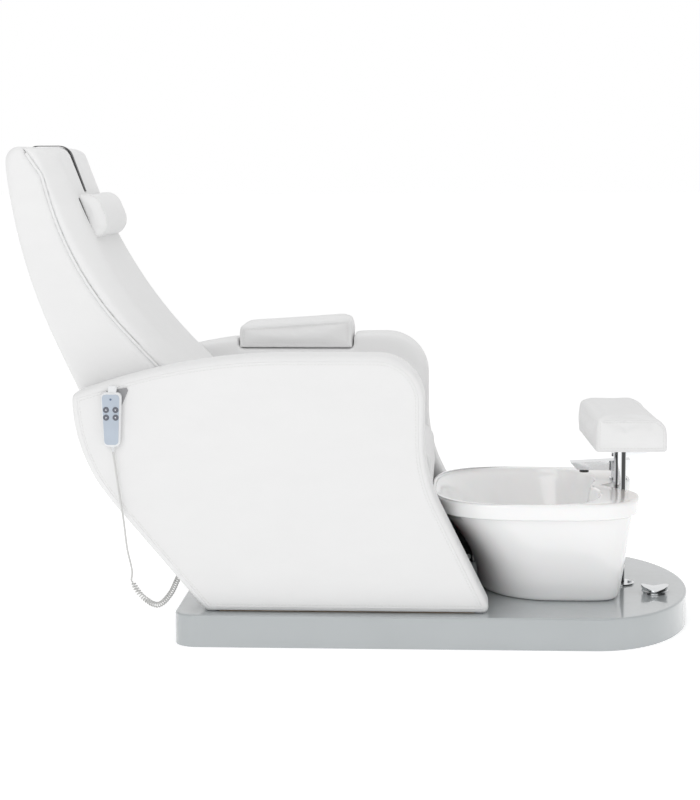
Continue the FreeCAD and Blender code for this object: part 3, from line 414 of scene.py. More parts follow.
def face_loop(node, direction):
    """The outline of a CAD node's flat face that looks in a direction, as ordered points."""
    shape = welded(node, "outline_source")
    work = bmesh.new()
    work.from_mesh(shape.data)
    flat = [f for f in work.faces if f.normal.dot(direction) > 0.9995]
    reach = max(f.calc_center_median().dot(direction) for f in flat)
    flat = {f for f in flat if f.calc_center_median().dot(direction) > reach - 0.2 * MM}
    rim = [e for e in work.edges if sum(f in flat for f in e.link_faces) == 1]
    follow = {}
    for edge in rim:
        for vertex in edge.verts:
            follow.setdefault(vertex, []).append(edge)
    loops = []
    left = set(rim)
    while left:
        edge = min(left, key=lambda e: e.index)
        left.discard(edge)
        vertex = edge.verts[1]
        path = [edge.verts[0].co.copy(), vertex.co.copy()]
        while True:
            onward = next((e for e in follow[vertex] if e in left), None)
            if onward is None:
                break
            left.discard(onward)
            vertex = onward.other_vert(vertex)
            path.append(vertex.co.copy())
        loops.append(path)
    work.free()
    bpy.data.objects.remove(shape)
    return max(loops, key=lambda path: sum((b - a).length for a, b in zip(path, path[1:])))


def even(path, step):
    """The same path with points a fixed distance apart."""
    result = [path[0]]
    carry = 0.0
    for a, b in zip(path, path[1:]):
        length = (b - a).length
        at = step - carry
        while at <= length:
            result.append(a.lerp(b, at / length))
            at += step
        carry = length - (at - step)
    return result


def inset_loop(path, direction, amount):
    """A loop moved towards its middle side in its own plane."""
    size = len(path)
    turn = sum(((path[i] - path[0]).cross(path[(i + 1) % size] - path[0])).dot(direction)
               for i in range(size))
    sign = 1 if turn > 0 else -1
    moved = []
    for i, point in enumerate(path):
        tangent = (path[(i + 1) % size] - path[i - 1]).normalized()
        moved.append(point + direction.cross(tangent).normalized() * amount * sign)
    return moved


def skin(rows, count, closed=False):
    """Faces between neighbouring rings of points; closed joins the last ring to the first."""
    faces = []
    for row in range(rows if closed else rows - 1):
        here = row * count
        onward = (row + 1) % rows * count
        for k in range(count):
            n = (k + 1) % count
            faces.append((here + k, here + n, onward + n, onward + k))
    return faces


def capped_skin(rows, count):
    """The same skin with a face over its first ring and one over its last."""
    first = tuple(range(count))
    last = tuple(range((rows - 1) * count, rows * count))
    return skin(rows, count) + [first, last]


def quarter(steps):
    """Points along a quarter circle: one share falls from 1 to 0 as the other rises from 0 to 1."""
    angles = [math.pi / 2 * step / steps for step in range(steps + 1)]
    return [(1 - math.sin(angle), 1 - math.cos(angle)) for angle in angles]


def tube(name, path, radius, sides=8, closed=False):
    """A round strand along a path, its cross-sections kept from twisting."""
    size = len(path)
    vertices = []
    side = None
    for i, point in enumerate(path):
        before = path[i - 1] if closed or i else point
        after = path[(i + 1) % size] if closed or i < size - 1 else point
        tangent = (after - before).normalized()
        if side is None:
            side = tangent.orthogonal().normalized()
        side = (side - tangent * side.dot(tangent)).normalized()
        other = tangent.cross(side)
        for k in range(sides):
            angle = TURN * k / sides
            vertices.append(point + (side * math.cos(angle) + other * math.sin(angle)) * radius)
    faces = skin(size, sides, True) if closed else capped_skin(size, sides)
    return new_object(name, vertices, faces)


def laid_on(target, path, lift):
    """Path points moved onto the target's surface and lifted off it, with the surface normals."""
    surface = BVHTree.FromObject(target, bpy.context.evaluated_depsgraph_get())
    result = []
    for point in path:
        place, normal = surface.find_nearest(point)[:2]
        result.append((place + normal * lift, normal))
    return result


STITCH_LONG = 6.0 * MM
STITCH_GAP = 2.6 * MM
STITCH_THICK = 0.55 * MM
STITCH_LIFT = 0.25 * MM
STITCH_SIDES = 6
STITCH_ENDS = ((0.0, 0.35), (0.18, 1.0), (0.82, 1.0), (1.0, 0.35))


def stitches(name, target, path):
    """A row of separate stitches lying on a surface, each drawn thin where it dives in."""
    vertices = []
    faces = []
    pitch = STITCH_LONG + STITCH_GAP
    one = capped_skin(len(STITCH_ENDS), STITCH_SIDES)
    places = laid_on(target, even(path, pitch), STITCH_LIFT)
    for (a, normal), (b, _) in zip(places, places[1:]):
        along = b - a
        if along.length < STITCH_LONG * 0.5 or along.length > 2 * pitch:
            continue
        along.normalize()
        across = normal.cross(along).normalized()
        base = len(vertices)
        for where, scale in STITCH_ENDS:
            for k in range(STITCH_SIDES):
                angle = TURN * k / STITCH_SIDES
                spoke = across * math.cos(angle) + normal * math.sin(angle)
                vertices.append(a + along * STITCH_LONG * where + spoke * STITCH_THICK * scale)
        faces += [tuple(base + i for i in face) for face in one]
    return new_object(name, vertices, faces)


def lathe(name, profile, centre, axis, sides=48):
    """A turned piece: (radius, height) pairs round an axis, closed at both ends."""
    tilt = UP.rotation_difference(axis)
    vertices = []
    for radius, height in profile:
        for k in range(sides):
            angle = TURN * k / sides
            local = Vector((radius * math.cos(angle), radius * math.sin(angle), height))
            vertices.append(centre + tilt @ local)
    return new_object(name, vertices, capped_skin(len(profile), sides))


def rounded_outline(corners, radius):
    """Points and outward directions round a convex outline with rounded corners."""
    outline = []
    size = len(corners)
    for i, (x, z) in enumerate(corners):
        here = Vector((x, z))
        back = (Vector(corners[i - 1]) - here).normalized()
        ahead = (Vector(corners[(i + 1) % size]) - here).normalized()
        half = math.acos(max(-1.0, min(1.0, back.dot(ahead)))) / 2
        centre = here + (back + ahead).normalized() * (radius / math.sin(half))
        first = here + back * (radius / math.tan(half)) - centre
        last = here + ahead * (radius / math.tan(half)) - centre
        sweep = first.angle_signed(last)
        for k in range(9):
            spun = Matrix.Rotation(-sweep * k / 8, 2) @ first
            outline.append((centre + spun, spun.normalized()))
    return outline


def rounded_plate(name, corners, radius, low_y, high_y, edge):
    """A convex plate in XZ with rounded corners and rounded edges all round."""
    outline = rounded_outline(corners, radius)
    rings = [(edge * fall, low_y + edge * rise) for fall, rise in quarter(5)]
    rings += [(inset, high_y + low_y - y) for inset, y in reversed(rings)]
    vertices = []
    for inset, y in rings:
        for point, outward in outline:
            place = point - outward * inset
            vertices.append(Vector((place.x, y, place.y)))
    return new_object(name, vertices, capped_skin(len(rings), len(outline)))


# ---------------------------------------------------------------- soft goods
BETWEEN_ARMS = ("seat_cushion", "back_cushion", "back_body")
SIDE_ROOM = 1.5 * MM  # what a piece between the arms may swell sideways
CLOTH_START = 1.5 * MM  # how much smaller than its solid a cloth starts
CLOTH_FRAMES = 20
HELD_DEPTH = 17 * MM  # the lowest part of a piece, which what it rests on holds still
HOLLOW_SPAN = 0.45  # how far a point looks for its own piece across a hollow
STRAP_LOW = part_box("head_strap")[0].z - 10 * MM
STRAP_HALF = 11 * MM
STRAP_FADE = 45 * MM


class Soft:
    """One upholstered piece, grown from its CAD solid.

    swell is how far it stands proud at most, and reach how far from a seam it takes to get
    there. press is a share of that at each point, and shape moves the points beforehand.
    """

    def __init__(self, name, node, voxel, swell, reach, press=None, simulate=True, shape=None):
        self.node = node
        self.swell = swell
        self.reach = reach
        self.press = press
        self.obj = welded(node, name)
        self.creases = tree_of(crease_points(self.obj))
        made = self.obj.modifiers.new("Remesh", "REMESH")
        made.mode = "VOXEL"
        made.voxel_size = voxel
        settle(self.obj)
        if shape:
            put_points(self.obj, [shape(Vector(p)) for p in points_of(self.obj)])
        self.rest = points_of(self.obj)
        self.normals = normals_of(self.obj)
        self.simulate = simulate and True
        if self.simulate:
            self.start_cloth()

    def start_cloth(self):
        """Pressure cloth on a slightly smaller copy; what lies underneath stays put."""
        put_points(self.obj, self.rest - self.normals * CLOTH_START)
        low = self.rest[:, 2].min()
        pin = self.obj.vertex_groups.new(name="held")
        held = [int(i) for i in np.where(self.rest[:, 2] < low + HELD_DEPTH)[0]]
        pin.add(held, 1.0, "REPLACE")
        cloth = self.obj.modifiers.new("Cloth", "CLOTH")
        cloth.settings.quality = 4
        cloth.settings.mass = 0.25
        cloth.settings.tension_stiffness = 12
        cloth.settings.compression_stiffness = 12
        cloth.settings.shear_stiffness = 6
        cloth.settings.bending_stiffness = 0.8
        cloth.settings.use_pressure = True
        cloth.settings.uniform_pressure_force = 4
        cloth.settings.effector_weights.gravity = 0
        cloth.settings.vertex_group_mass = pin.name
        cloth.collision_settings.use_collision = False
        cloth.point_cache.frame_start = 1
        cloth.point_cache.frame_end = CLOTH_FRAMES

    def crown(self):
        """How far each point may stand proud: nothing at a seam, most in the middle of a face.

        A piece between the arms has little room sideways, and an arm's inner face has none.
        """
        distance = np.array([self.creases.find(p)[2] for p in self.rest])
        amount = self.swell * (1 - np.exp(-distance / self.reach))
        if self.press:
            amount = amount * np.array([self.press(Vector(p)) for p in self.rest])
        sideways = np.clip((np.abs(self.normals[:, 1]) - 0.35) / 0.4, 0.0, 1.0)
        limit = np.full(len(amount), SIDE_ROOM if self.node in BETWEEN_ARMS else 1.0)
        if self.node.startswith("side_panel"):
            limit[self.normals[:, 1] * self.rest[:, 1] < 0] = 0.0
        return amount * (1 - sideways) + np.minimum(amount, limit) * sideways

    def shown_outside(self):
        """False inside a hollow, where a point faces its own piece."""
        tree = BVHTree.FromObject(self.obj, bpy.context.evaluated_depsgraph_get())
        outside = []
        for point, normal in zip(self.rest, self.normals):
            start = Vector(point) + Vector(normal) * 2 * MM
            inside = tree.ray_cast(start, Vector(normal), HOLLOW_SPAN)[0] is not None
            outside.append(not inside)
        return np.array(outside)

    def finish(self, hollow=False):
        """Cap the swelling by the crown, then smooth."""
        amount = self.crown()
        if hollow:
            amount = amount * self.shown_outside()
        if self.simulate:
            settle(self.obj)
            moved = points_of(self.obj) - self.rest
            length = np.linalg.norm(moved, axis=1)
            share = np.minimum(1.0, amount / np.maximum(length, 1e-9))
            points = self.rest + moved * share[:, None]
        else:
            points = self.rest + self.normals * amount[:, None]
        ripple = np.array([noise.noise(Vector(p) * 11.0) for p in self.rest])
        points = points + self.normals * (ripple * amount * 0.07)[:, None]
        put_points(self.obj, points)
        made = self.obj.modifiers.new("Smooth", "SMOOTH")
        made.factor = 0.5
        made.iterations = 7
        settle(self.obj)
        subdivide(self.obj)
        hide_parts(self.node)
        return self.obj


def smoothstep(value, start, end):
    share = max(0.0, min(1.0, (value - start) / (end - start)))
    return share * share * (3 - 2 * share)


def under_strap(point):
    """The strap holds the cushion down along the middle of the upper back."""
    if point.z < STRAP_LOW:
        return 1.0
    return smoothstep(abs(point.y), STRAP_HALF, STRAP_FADE)


def simulate():
    """Step every cloth together."""
    for step in range(1, CLOTH_FRAMES + 1):
        SCENE.frame_set(step)


def leather(obj, body):
    """Finish a piece in the chair's white leatherette."""
    return finish_piece(obj, WHITE_LEATHER, body)


SEAM_STEP = 5 * MM


def seam(piece, node, direction, body, name, inset, welt=1.3 * MM):
    """A welt round the flat end of a piece, and a row of stitches inside it."""
    loop = face_loop(node, direction)
    path = [place for place, _ in laid_on(piece, even(loop + [loop[0]], SEAM_STEP), 0.0)]
    leather(tube(name + "_welt", path[:-1], welt, 6, closed=True), body)
    row = inset_loop(even(loop, SEAM_STEP), direction, inset)
    thread = stitches(name + "_stitches", piece, row + [row[0]])
    finish_piece(thread, THREAD, body)


def shared_run(loop, node, reach):
    """The longest stretch of a closed outline that lies against another CAD node."""
    work = bmesh.new()
    work.from_mesh(NODES[node].data)
    tree = BVHTree.FromBMesh(work)
    work.free()
    loop = even(loop + [loop[0]], 4 * MM)
    near = [tree.find_nearest(p, reach)[0] is not None for p in loop]
    size = len(loop)
    start = next((i for i in range(size) if near[i] and not near[i - 1]), 0)
    runs = []
    run = []
    for k in range(size):
        i = (start + k) % size
        if near[i]:
            run.append(loop[i])
        elif run:
            runs.append(run)
            run = []
    runs.append(run)
    return max(runs, key=len)


def frame_turn(node):
    """How far a CAD node is swung about the upright axis, read from its largest upright face."""
    shape = welded(node, "turn_source")
    best = max((p for p in shape.data.polygons if abs(p.normal.z) < 0.01 and p.normal.y > 0.9),
               key=lambda p: p.area)
    angle = ACROSS.rotation_difference(Vector(best.normal))
    bpy.data.objects.remove(shape)
    return angle


FOOTREST_TURN = frame_turn("footrest_pillow")
REST_LOW, REST_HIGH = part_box("footrest_pillow")
FOOTREST_MIDDLE = (REST_LOW + REST_HIGH) / 2
REST_DEPTH = 186 * MM
NOSE_RADIUS = 40 * MM
NOSE_CENTRE = Vector((REST_DEPTH / 2 - NOSE_RADIUS, (REST_HIGH.z - REST_LOW.z) / 2 - NOSE_RADIUS))


def rounded_nose(point):
    """Pull the footrest's far top edge in to a large radius."""
    local = FOOTREST_TURN.inverted() @ (point - FOOTREST_MIDDLE)
    over = Vector((local.x, local.z)) - NOSE_CENTRE
    if over.x > 0 and over.y > 0 and over.length > NOSE_RADIUS:
        pulled = over.normalized() * NOSE_RADIUS
        local.x += pulled.x - over.x
        local.z += pulled.y - over.y
    return FOOTREST_MIDDLE + FOOTREST_TURN @ local


def make_cushions():
    """The padded pieces, stepped through the cloth simulation together."""
    made = {
        "seat": Soft("seat_cushion_cover", "seat_cushion", 7 * MM, 9 * MM, 45 * MM),
        "backrest": Soft("back_cushion_cover", "back_cushion", 7 * MM, 8 * MM, 50 * MM,
                         press=under_strap),
        "head_pillow": Soft("head_pillow_cover", "head_pillow", 4 * MM, 5 * MM, 14 * MM),
        "footrest": Soft("footrest_pillow_cover", "footrest_pillow", 4 * MM, 6 * MM, 22 * MM,
                         shape=rounded_nose),
        "arm_pad": Soft("arm_pad_cover", "arm_pad", 4 * MM, 5 * MM, 16 * MM),
    }
    simulate()
    covers = {body: leather(soft.finish(), body) for body, soft in made.items()}
    for label, sign in SIDES:
        toward = ACROSS * sign
        seam(covers["head_pillow"], "head_pillow", toward, "head_pillow",
             "head_pillow_" + label, 4 * MM, 1.0 * MM)
        seam(covers["footrest"], "footrest_pillow", FOOTREST_TURN @ toward, "footrest",
             "footrest_pillow_" + label, 5 * MM)
        seam(covers["arm_pad"], "arm_pad", toward, "arm_pad",
             "arm_pad_" + label, 4 * MM, 1.0 * MM)


def make_piping():
    """Piping in the backrest's side seams, and a black strand where the pillow lies against it: painted
    shade for the gap between them.
    """
    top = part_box("back_body")[1].z - 14 * MM
    for label, sign in SIDES:
        toward = ACROSS * sign
        run = shared_run(face_loop("back_cushion", toward), "back_body", 3 * MM)
        run = [p - toward * 3.6 * MM for p in run if p.z < top]
        leather(tube("back_seam_" + label, run, 3.8 * MM, 12), "backrest")
        run = shared_run(face_loop("head_pillow", toward), "back_cushion", 6 * MM)
        run = [p + toward * 1.0 * MM for p in run]
        # a black strand laid in the gap behind the pillow's edge: painted shade for that gap
        edge = tube("head_pillow_painted_gap_shade_" + label, run, 3.2 * MM, 10)
        finish_piece(edge, SLOT_LOOKS["black_lining"], "head_pillow")


def make_panels():
    """Leather drawn over boards: the arms, the backrest's rear body and the rear cover."""
    for label, sign in SIDES:
        node = "side_panel_" + label
        panel = Soft(node + "_cover", node, 6 * MM, 3.5 * MM, 55 * MM, simulate=False)
        cover = leather(panel.finish(hollow=True), "base")
        seam(cover, node, ACROSS * sign, "base", node, 6 * MM)
    shell = Soft("back_body_cover", "back_body", 7 * MM, 5 * MM, 40 * MM,
                 press=under_strap, simulate=False)
    leather(shell.finish(hollow=True), "backrest")
    rear = Soft("rear_cover_leather", "rear_cover", 6 * MM, 3 * MM, 50 * MM, simulate=False)
    leather(rear.finish(), "base")


# ---------------------------------------------------------------- foot basin
TUB_LOW, TUB_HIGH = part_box("tub")
DRAIN_LOW, DRAIN_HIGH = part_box("tub_drain")
TAP_LOW, TAP_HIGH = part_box("tap_stem")
BASIN_POINTS = 176
RIM_TALL = 41 * MM
RIM_OUT = 13.5 * MM
RIM_ROUND = 9 * MM
LIP_ROUND = 5 * MM
MOUTH_ROUND = 8 * MM
FOOT_ROUND = 13 * MM
FLOOR_WIDE = 22 * MM
FLOOR_DEEP = 12 * MM
BAY_HALF = 64 * MM
DRAIN_BORE = 20.5 * MM
WALL_TOP = TUB_HIGH.z - RIM_TALL
FLOOR = DRAIN_HIGH.z - 3 * MM
WALL_FRONT = TUB_HIGH.x - RIM_OUT
WALL_REAR = TUB_LOW.x + RIM_OUT
WALL_HALF = TUB_HIGH.y - RIM_OUT


def basin_ring(z, rear, front, half_y, middle, powers, notch, shrink):
    """One closed outline of the basin, with the bay for the post at its front.

    powers shape its rear and its front: 2 is a plain ellipse, and more is squarer.
    """
    points = []
    rear = rear + shrink
    front = front - shrink
    half_y = half_y - shrink
    for i in range(BASIN_POINTS):
        angle = TURN * i / BASIN_POINTS
        c = math.cos(angle)
        s = math.sin(angle)
        reach, power = (front - middle, powers[1]) if c > 0 else (middle - rear, powers[0])
        x = middle + math.copysign(abs(c) ** (2 / power), c) * reach
        y = math.copysign(abs(s) ** (2 / power), s) * half_y
        if c > 0:
            x -= notch * math.exp(-(y / BAY_HALF) ** 2)
        points.append(Vector((x, y, z)))
    return points


def outer_ring(share, z, shrink=0.0):
    """The wall's outside, whose foot is set in from its top; share is 0 at the foot."""
    return basin_ring(z, WALL_REAR + (112 - 112 * share * share) * MM,
                      WALL_FRONT - (40 - 40 * share) * MM, WALL_HALF - (69 - 69 * share) * MM,
                      (300 - 50 * share) * MM, (2.1 + 0.77 * share, 7 - 3 * share),
                      (70 + 18 * share) * MM, shrink)


def lip_ring(z, shrink):
    """The rolled rim's outside."""
    return basin_ring(z, TUB_LOW.x, TUB_HIGH.x, TUB_HIGH.y, 250 * MM, (2.87, 4), 88 * MM, shrink)


def inner_ring(share, z, shrink=0.0):
    """The bowl's inside; share is 0 at the floor and 1 at the mouth."""
    return basin_ring(z, (142 - 147 * share ** 1.6) * MM, WALL_FRONT - (120 - 34 * share) * MM,
                      WALL_HALF - (101 - 99 * share) * MM, (290 - 80 * share) * MM,
                      (2.1 + 0.8 * share, 3.5), 22 * MM, shrink)


def drain_rings(last):
    """From the bowl's lowest ring in to the drain's hole, and down through it."""
    middle = (DRAIN_LOW + DRAIN_HIGH) / 2
    circle = []
    for i in range(BASIN_POINTS):
        angle = TURN * i / BASIN_POINTS
        circle.append(Vector((middle.x + DRAIN_BORE * math.cos(angle),
                              DRAIN_BORE * math.sin(angle), FLOOR)))
    rings = [[a.lerp(b, share) for a, b in zip(last, circle)] for share in (0.25, 0.5, 0.75)]
    return rings + [circle, [Vector((p.x, p.y, TUB_LOW.z)) for p in circle]]


def basin_rings():
    """The basin's outlines in order: up the wall, over the rim, down inside, out by the drain."""
    top = TUB_HIGH.z
    rings = [outer_ring(0, TUB_LOW.z + FOOT_ROUND * rise, FOOT_ROUND * fall)
             for fall, rise in quarter(4)]
    rings += [outer_ring(i / 12, TUB_LOW.z + (WALL_TOP - TUB_LOW.z) * (i / 12))
              for i in range(2, 13)]
    rings += [lip_ring(WALL_TOP + LIP_ROUND * rise, LIP_ROUND * fall) for fall, rise in quarter(4)]
    rings += [lip_ring(top - RIM_ROUND * fall, RIM_ROUND * rise) for fall, rise in quarter(6)]
    rings += [inner_ring(1, top - MOUTH_ROUND * rise, -MOUTH_ROUND * fall)
              for fall, rise in quarter(5)]
    rings += [inner_ring(i / 14, FLOOR + (top - FLOOR) * (i / 14)) for i in range(13, 0, -1)]
    rings += [inner_ring(0, FLOOR + FLOOR_DEEP * fall, FLOOR_WIDE * rise)
              for fall, rise in quarter(5)[1:]]
    return rings + drain_rings(rings[-1])


def make_tub():
    """Moulded basin with a rolled rim, lofted as one skin, with ways for the tap and its hoses."""
    rings = basin_rings()
    faces = skin(len(rings), BASIN_POINTS, closed=True)
    tub = new_object("foot_basin", [p for ring in rings for p in ring], faces)
    tap = (TAP_LOW + TAP_HIGH) / 2
    top = TUB_HIGH.z
    cut_way(tub, Vector((tap.x, tap.y, top - 25 * MM)), Vector((tap.x, tap.y, top + 20 * MM)),
            17 * MM)
    cut_way(tub, Vector((tap.x - 53 * MM, tap.y, TUB_LOW.z - 12 * MM)),
            Vector((tap.x - 3 * MM, tap.y, top - 12 * MM)), 20 * MM)
    finish_piece(tub, ACRYLIC, "base")
    tub.data.set_sharp_from_angle(angle=math.radians(50))
    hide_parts("tub")


def cut_way(obj, start, end, radius):
    """Bore a round way through a piece."""
    along = end - start
    bore = lathe("bore_tool", [(radius, 0), (radius, along.length)], start, along.normalized(), 32)
    made = obj.modifiers.new("Bore", "BOOLEAN")
    made.operation = "DIFFERENCE"
    made.solver = "EXACT"
    made.object = bore
    settle(obj)
    bpy.data.objects.remove(bore)


# ---------------------------------------------------------------- drain knob
KNOB_SIDES = 72
KNOB_ROWS = 14
KNOB_STEM = 4.9 * MM
GROOVE_TALL = 4.8 * MM


def make_knob():
    """Turned chrome grip whose top dips in the middle and rises to a wing on either side."""
    low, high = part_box("drain_knob")
    middle = (low + high) / 2
    radius = (high.x - low.x) / 2
    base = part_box("knob_collar")[1].z + 1 * MM
    angles = [TURN * k / KNOB_SIDES for k in range(KNOB_SIDES)]
    vertices = []

    def ring(spread, height):
        """Points round the axis; height is a number, or a function of the angle and the spread."""
        for angle in angles:
            z = height(angle, spread) if callable(height) else height
            vertices.append(Vector((middle.x + spread * math.cos(angle),
                                    middle.y + spread * math.sin(angle), z)))

    def top(angle, spread):
        share = spread / radius
        wave = abs(math.cos(angle)) ** 1.4
        return base + (8.5 + 9.0 * wave * share ** 1.6 - 1.5 * (1 - wave) * share) * MM

    def flank(angle, spread):
        return base + GROOVE_TALL + 0.7 * (top(angle, spread) - base - GROOVE_TALL)

    def shoulder(angle, spread):
        return top(angle, spread) - 0.9 * MM

    ring(KNOB_STEM, low.z)
    ring(KNOB_STEM, base)
    ring(radius - 4 * MM, base)
    ring(radius - 1.5 * MM, base + 1.0 * MM)
    ring(radius - 0.4 * MM, base + 3.0 * MM)
    ring(radius - 2.2 * MM, base + 4.2 * MM)
    ring(radius - 2.6 * MM, base + GROOVE_TALL)
    ring(radius - 0.6 * MM, flank)
    ring(radius, shoulder)
    for i in range(KNOB_ROWS):
        ring((radius - 0.8 * MM) * (1 - i / KNOB_ROWS) + 0.6 * MM, top)
    knob = new_object("drain_grip", vertices, capped_skin(len(vertices) // KNOB_SIDES, KNOB_SIDES))
    finish_piece(knob, CHROME, "drain_knob")
    knob.data.set_sharp_from_angle(angle=math.radians(40))
    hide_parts("drain_knob")


# ---------------------------------------------------------------- handset and cord
FACE_LOW, FACE_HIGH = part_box("handset_face")
SHELL_LOW, SHELL_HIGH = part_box("handset_shell")
FACE_MIDDLE = (FACE_LOW.x + FACE_HIGH.x) / 2
CASE_TOP = FACE_HIGH.z + 5 * MM
CASE_FOOT = FACE_LOW.z - 6 * MM
CASE_BACK = SHELL_HIGH.y
CORD_START = Vector(((SHELL_LOW.x + SHELL_HIGH.x) / 2 + 2 * MM, SHELL_HIGH.y - 10 * MM,
                     SHELL_LOW.z + 1 * MM))
BUTTON_TURNS = {"back_up": 90, "back_down": -90, "seat_forward": 0, "seat_rearward": 180}
MARK_RADIUS = 2.7 * MM
MARK_LIFT = 0.25 * MM
MARK_DEEP = 0.7 * MM


def white_plastic(obj, body="handset"):
    """Finish a piece in the handset's glossy plastic."""
    return finish_piece(obj, GLOSS_WHITE, body)


def make_case():
    """The handset's shell, a little wider at its top, and the hook on its back."""
    wide = (FACE_HIGH.x - FACE_LOW.x) / 2 + 5 * MM
    narrow = (FACE_HIGH.x - FACE_LOW.x) / 2 - 1 * MM
    corners = [(FACE_MIDDLE - wide, CASE_TOP), (FACE_MIDDLE + wide, CASE_TOP),
               (FACE_MIDDLE + narrow, CASE_FOOT), (FACE_MIDDLE - narrow, CASE_FOOT)]
    shell = rounded_plate("handset_case", corners, 12 * MM, FACE_HIGH.y, CASE_BACK, 6 * MM)
    white_plastic(shell)
    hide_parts("handset_shell")
    corners = [(FACE_MIDDLE - 8 * MM, SHELL_HIGH.z), (FACE_MIDDLE + 15 * MM, SHELL_HIGH.z),
               (FACE_MIDDLE + 12 * MM, CASE_TOP - 4 * MM),
               (FACE_MIDDLE - 8 * MM, CASE_TOP - 4 * MM)]
    white_plastic(rounded_plate("handset_hook", corners, 4 * MM, CASE_BACK - 14 * MM,
                                CASE_BACK - 4 * MM, 2.5 * MM))


def make_strain_relief():
    """The ribbed sleeve that the cord leaves the handset by, narrowing as it goes down."""
    profile = [(4.2 * MM, 0.0), (4.6 * MM, 1 * MM)]
    for k in range(5):
        rib = 4.6 * MM - k * 0.25 * MM
        neck = 3.5 * MM - k * 0.2 * MM
        profile += [(rib, (1.4 + 2.6 * k) * MM), (rib, (2.6 + 2.6 * k) * MM),
                    (neck, (2.9 + 2.6 * k) * MM), (neck, (3.7 + 2.6 * k) * MM)]
    foot = Vector((FACE_MIDDLE + 2 * MM, CASE_BACK - 10 * MM, CASE_FOOT + 1 * MM))
    white_plastic(lathe("handset_strain_relief", profile, foot, -UP, 24))


def make_indicator():
    """The small lens above the buttons."""
    profile = [(2.6 * MM, 0), (2.6 * MM, 1.6 * MM), (2.0 * MM, 2.1 * MM), (0.8 * MM, 2.4 * MM)]
    place = Vector((FACE_MIDDLE, FACE_LOW.y + 1.2 * MM, CASE_TOP - 17 * MM))
    lens = lathe("handset_indicator", profile, place, -ACROSS, 24)
    finish_piece(lens, LED, "handset")


def make_button(node, turn):
    """A domed cap with a plain triangle that points the way it drives the chair."""
    low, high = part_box(node)
    radius = (high.x - low.x) / 2
    centre = Vector(((low.x + high.x) / 2, high.y, (low.z + high.z) / 2))
    deep = high.y - low.y
    dome = [(radius, 0), (radius, deep - 1.2 * MM), (radius - 0.35 * MM, deep - 0.55 * MM),
            (radius - 1.2 * MM, deep - 0.15 * MM), (radius * 0.4, deep), (radius * 0.05, deep)]
    cap = lathe(node + "_cap", dome, centre, -ACROSS, 40)
    finish_piece(cap, BUTTON_GREY, node)
    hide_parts(node)
    face = []
    for corner in range(3):
        angle = math.radians(turn) + TURN * corner / 3
        face.append(Vector((centre.x + MARK_RADIUS * math.cos(angle), low.y - MARK_LIFT,
                            centre.z + MARK_RADIUS * math.sin(angle))))
    rear = [p + ACROSS * MARK_DEEP for p in face]
    mark = new_object(node + "_mark", face + rear,
                      [(0, 1, 2), (3, 5, 4), (0, 1, 4, 3), (1, 2, 5, 4), (2, 0, 3, 5)])
    finish_piece(mark, ICON, node)
    mark.data.set_sharp_from_angle(angle=0.5)


def spline(points, count):
    """A smooth path through a few points (Catmull-Rom)."""
    ends = [points[0] * 2 - points[1]] + points + [points[-1] * 2 - points[-2]]
    path = []
    for i in range(len(points) - 1):
        a, b, c, d = ends[i:i + 4]
        for k in range(count):
            t = k / count
            path.append((b * 2 + (c - a) * t + (a * 2 - b * 5 + c * 4 - d) * t * t
                         + (b * 3 - a - c * 3 + d) * t ** 3) / 2)
    return path + [points[-1]]


# the cord's run in mm from where it leaves the handset: hanging, then stretched as a coil
CORD_HANG = [(0, 0, 0), (13, 0, -98), (23, 0, -171), (31, 0, -244), (42, 0, -298), (40, 0, -326)]
CORD_LOOP = [(40, 0, -326), (44, 0, -332), (69, 0, -368), (102, 30, -394), (127, 75, -375),
             (141, 125, -342), (154, 150, -320)]
COIL_STEP = 0.45
COIL_PITCH = 7.2
COIL_RADIUS = 6.2 * MM
COIL_STRAND = 1.7 * MM


def make_cord():
    """The straight length that hangs from the handset and bends as the handset is lifted."""
    path = spline([CORD_START + Vector(p) * MM for p in CORD_HANG], 24)
    cord = tube("handset_cord_straight", path, 2.4 * MM, 10)
    cord.data.materials.append(CORD_PAINTED_SHADE)
    cord.data.shade_smooth()
    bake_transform(cord, "base", "handset", start=path[-1], end=path[0])


def make_coil():
    """The stretched coil that the cord turns into, running under the chair."""
    centre = spline([CORD_START + Vector(p) * MM for p in CORD_LOOP], 40)
    centre = even(centre, COIL_STEP * MM)
    turn_step = TURN * COIL_STEP / COIL_PITCH
    coil = []
    side = None
    for i in range(len(centre) - 1):
        tangent = (centre[i + 1] - centre[i]).normalized()
        if side is None:
            side = tangent.orthogonal().normalized()
        side = (side - tangent * side.dot(tangent)).normalized()
        other = tangent.cross(side)
        grow = COIL_RADIUS * smoothstep(i, 0, 30)
        spoke = side * math.cos(i * turn_step) + other * math.sin(i * turn_step)
        coil.append(centre[i] + spoke * grow)
    spring = tube("handset_cord_coil", coil, COIL_STRAND, 8)
    finish_piece(spring, CORD_PAINTED_SHADE, "base")
    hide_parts("handset_cord")


# ---------------------------------------------------------------- CAD pieces that stay
# how wide each one's edges are broken, in mm
BEVELS = {"tap_body": 1.6, "tap_lever": 1.4, "footrest_plate": 1.2, "post_flange": 0.8,
          "knob_collar": 0.8, "handset_face": 0.4, "handset_holder": 0.8, "head_strap": 0.4,
          "kick_panel": 1.0, "chair_frame": 1.5, "seat_frame": 1.0, "control_box": 1.5,
          "tub_drain": 0.6, "drain_plug": 0.8, "tap_stem": 0.6}


def break_edges(node, width):
    """Round a CAD piece's edges as it renders, leaving its mesh alone."""
    drop_custom_normals(node.data)
    node.data.shade_smooth()
    weld = node.modifiers.new("Weld", "WELD")
    weld.merge_threshold = 0.01 * MM
    bevel = node.modifiers.new("Bevel", "BEVEL")
    bevel.width = width * MM
    bevel.segments = 3
    bevel.limit_method = "ANGLE"
    bevel.angle_limit = math.radians(40)
    bevel.harden_normals = True


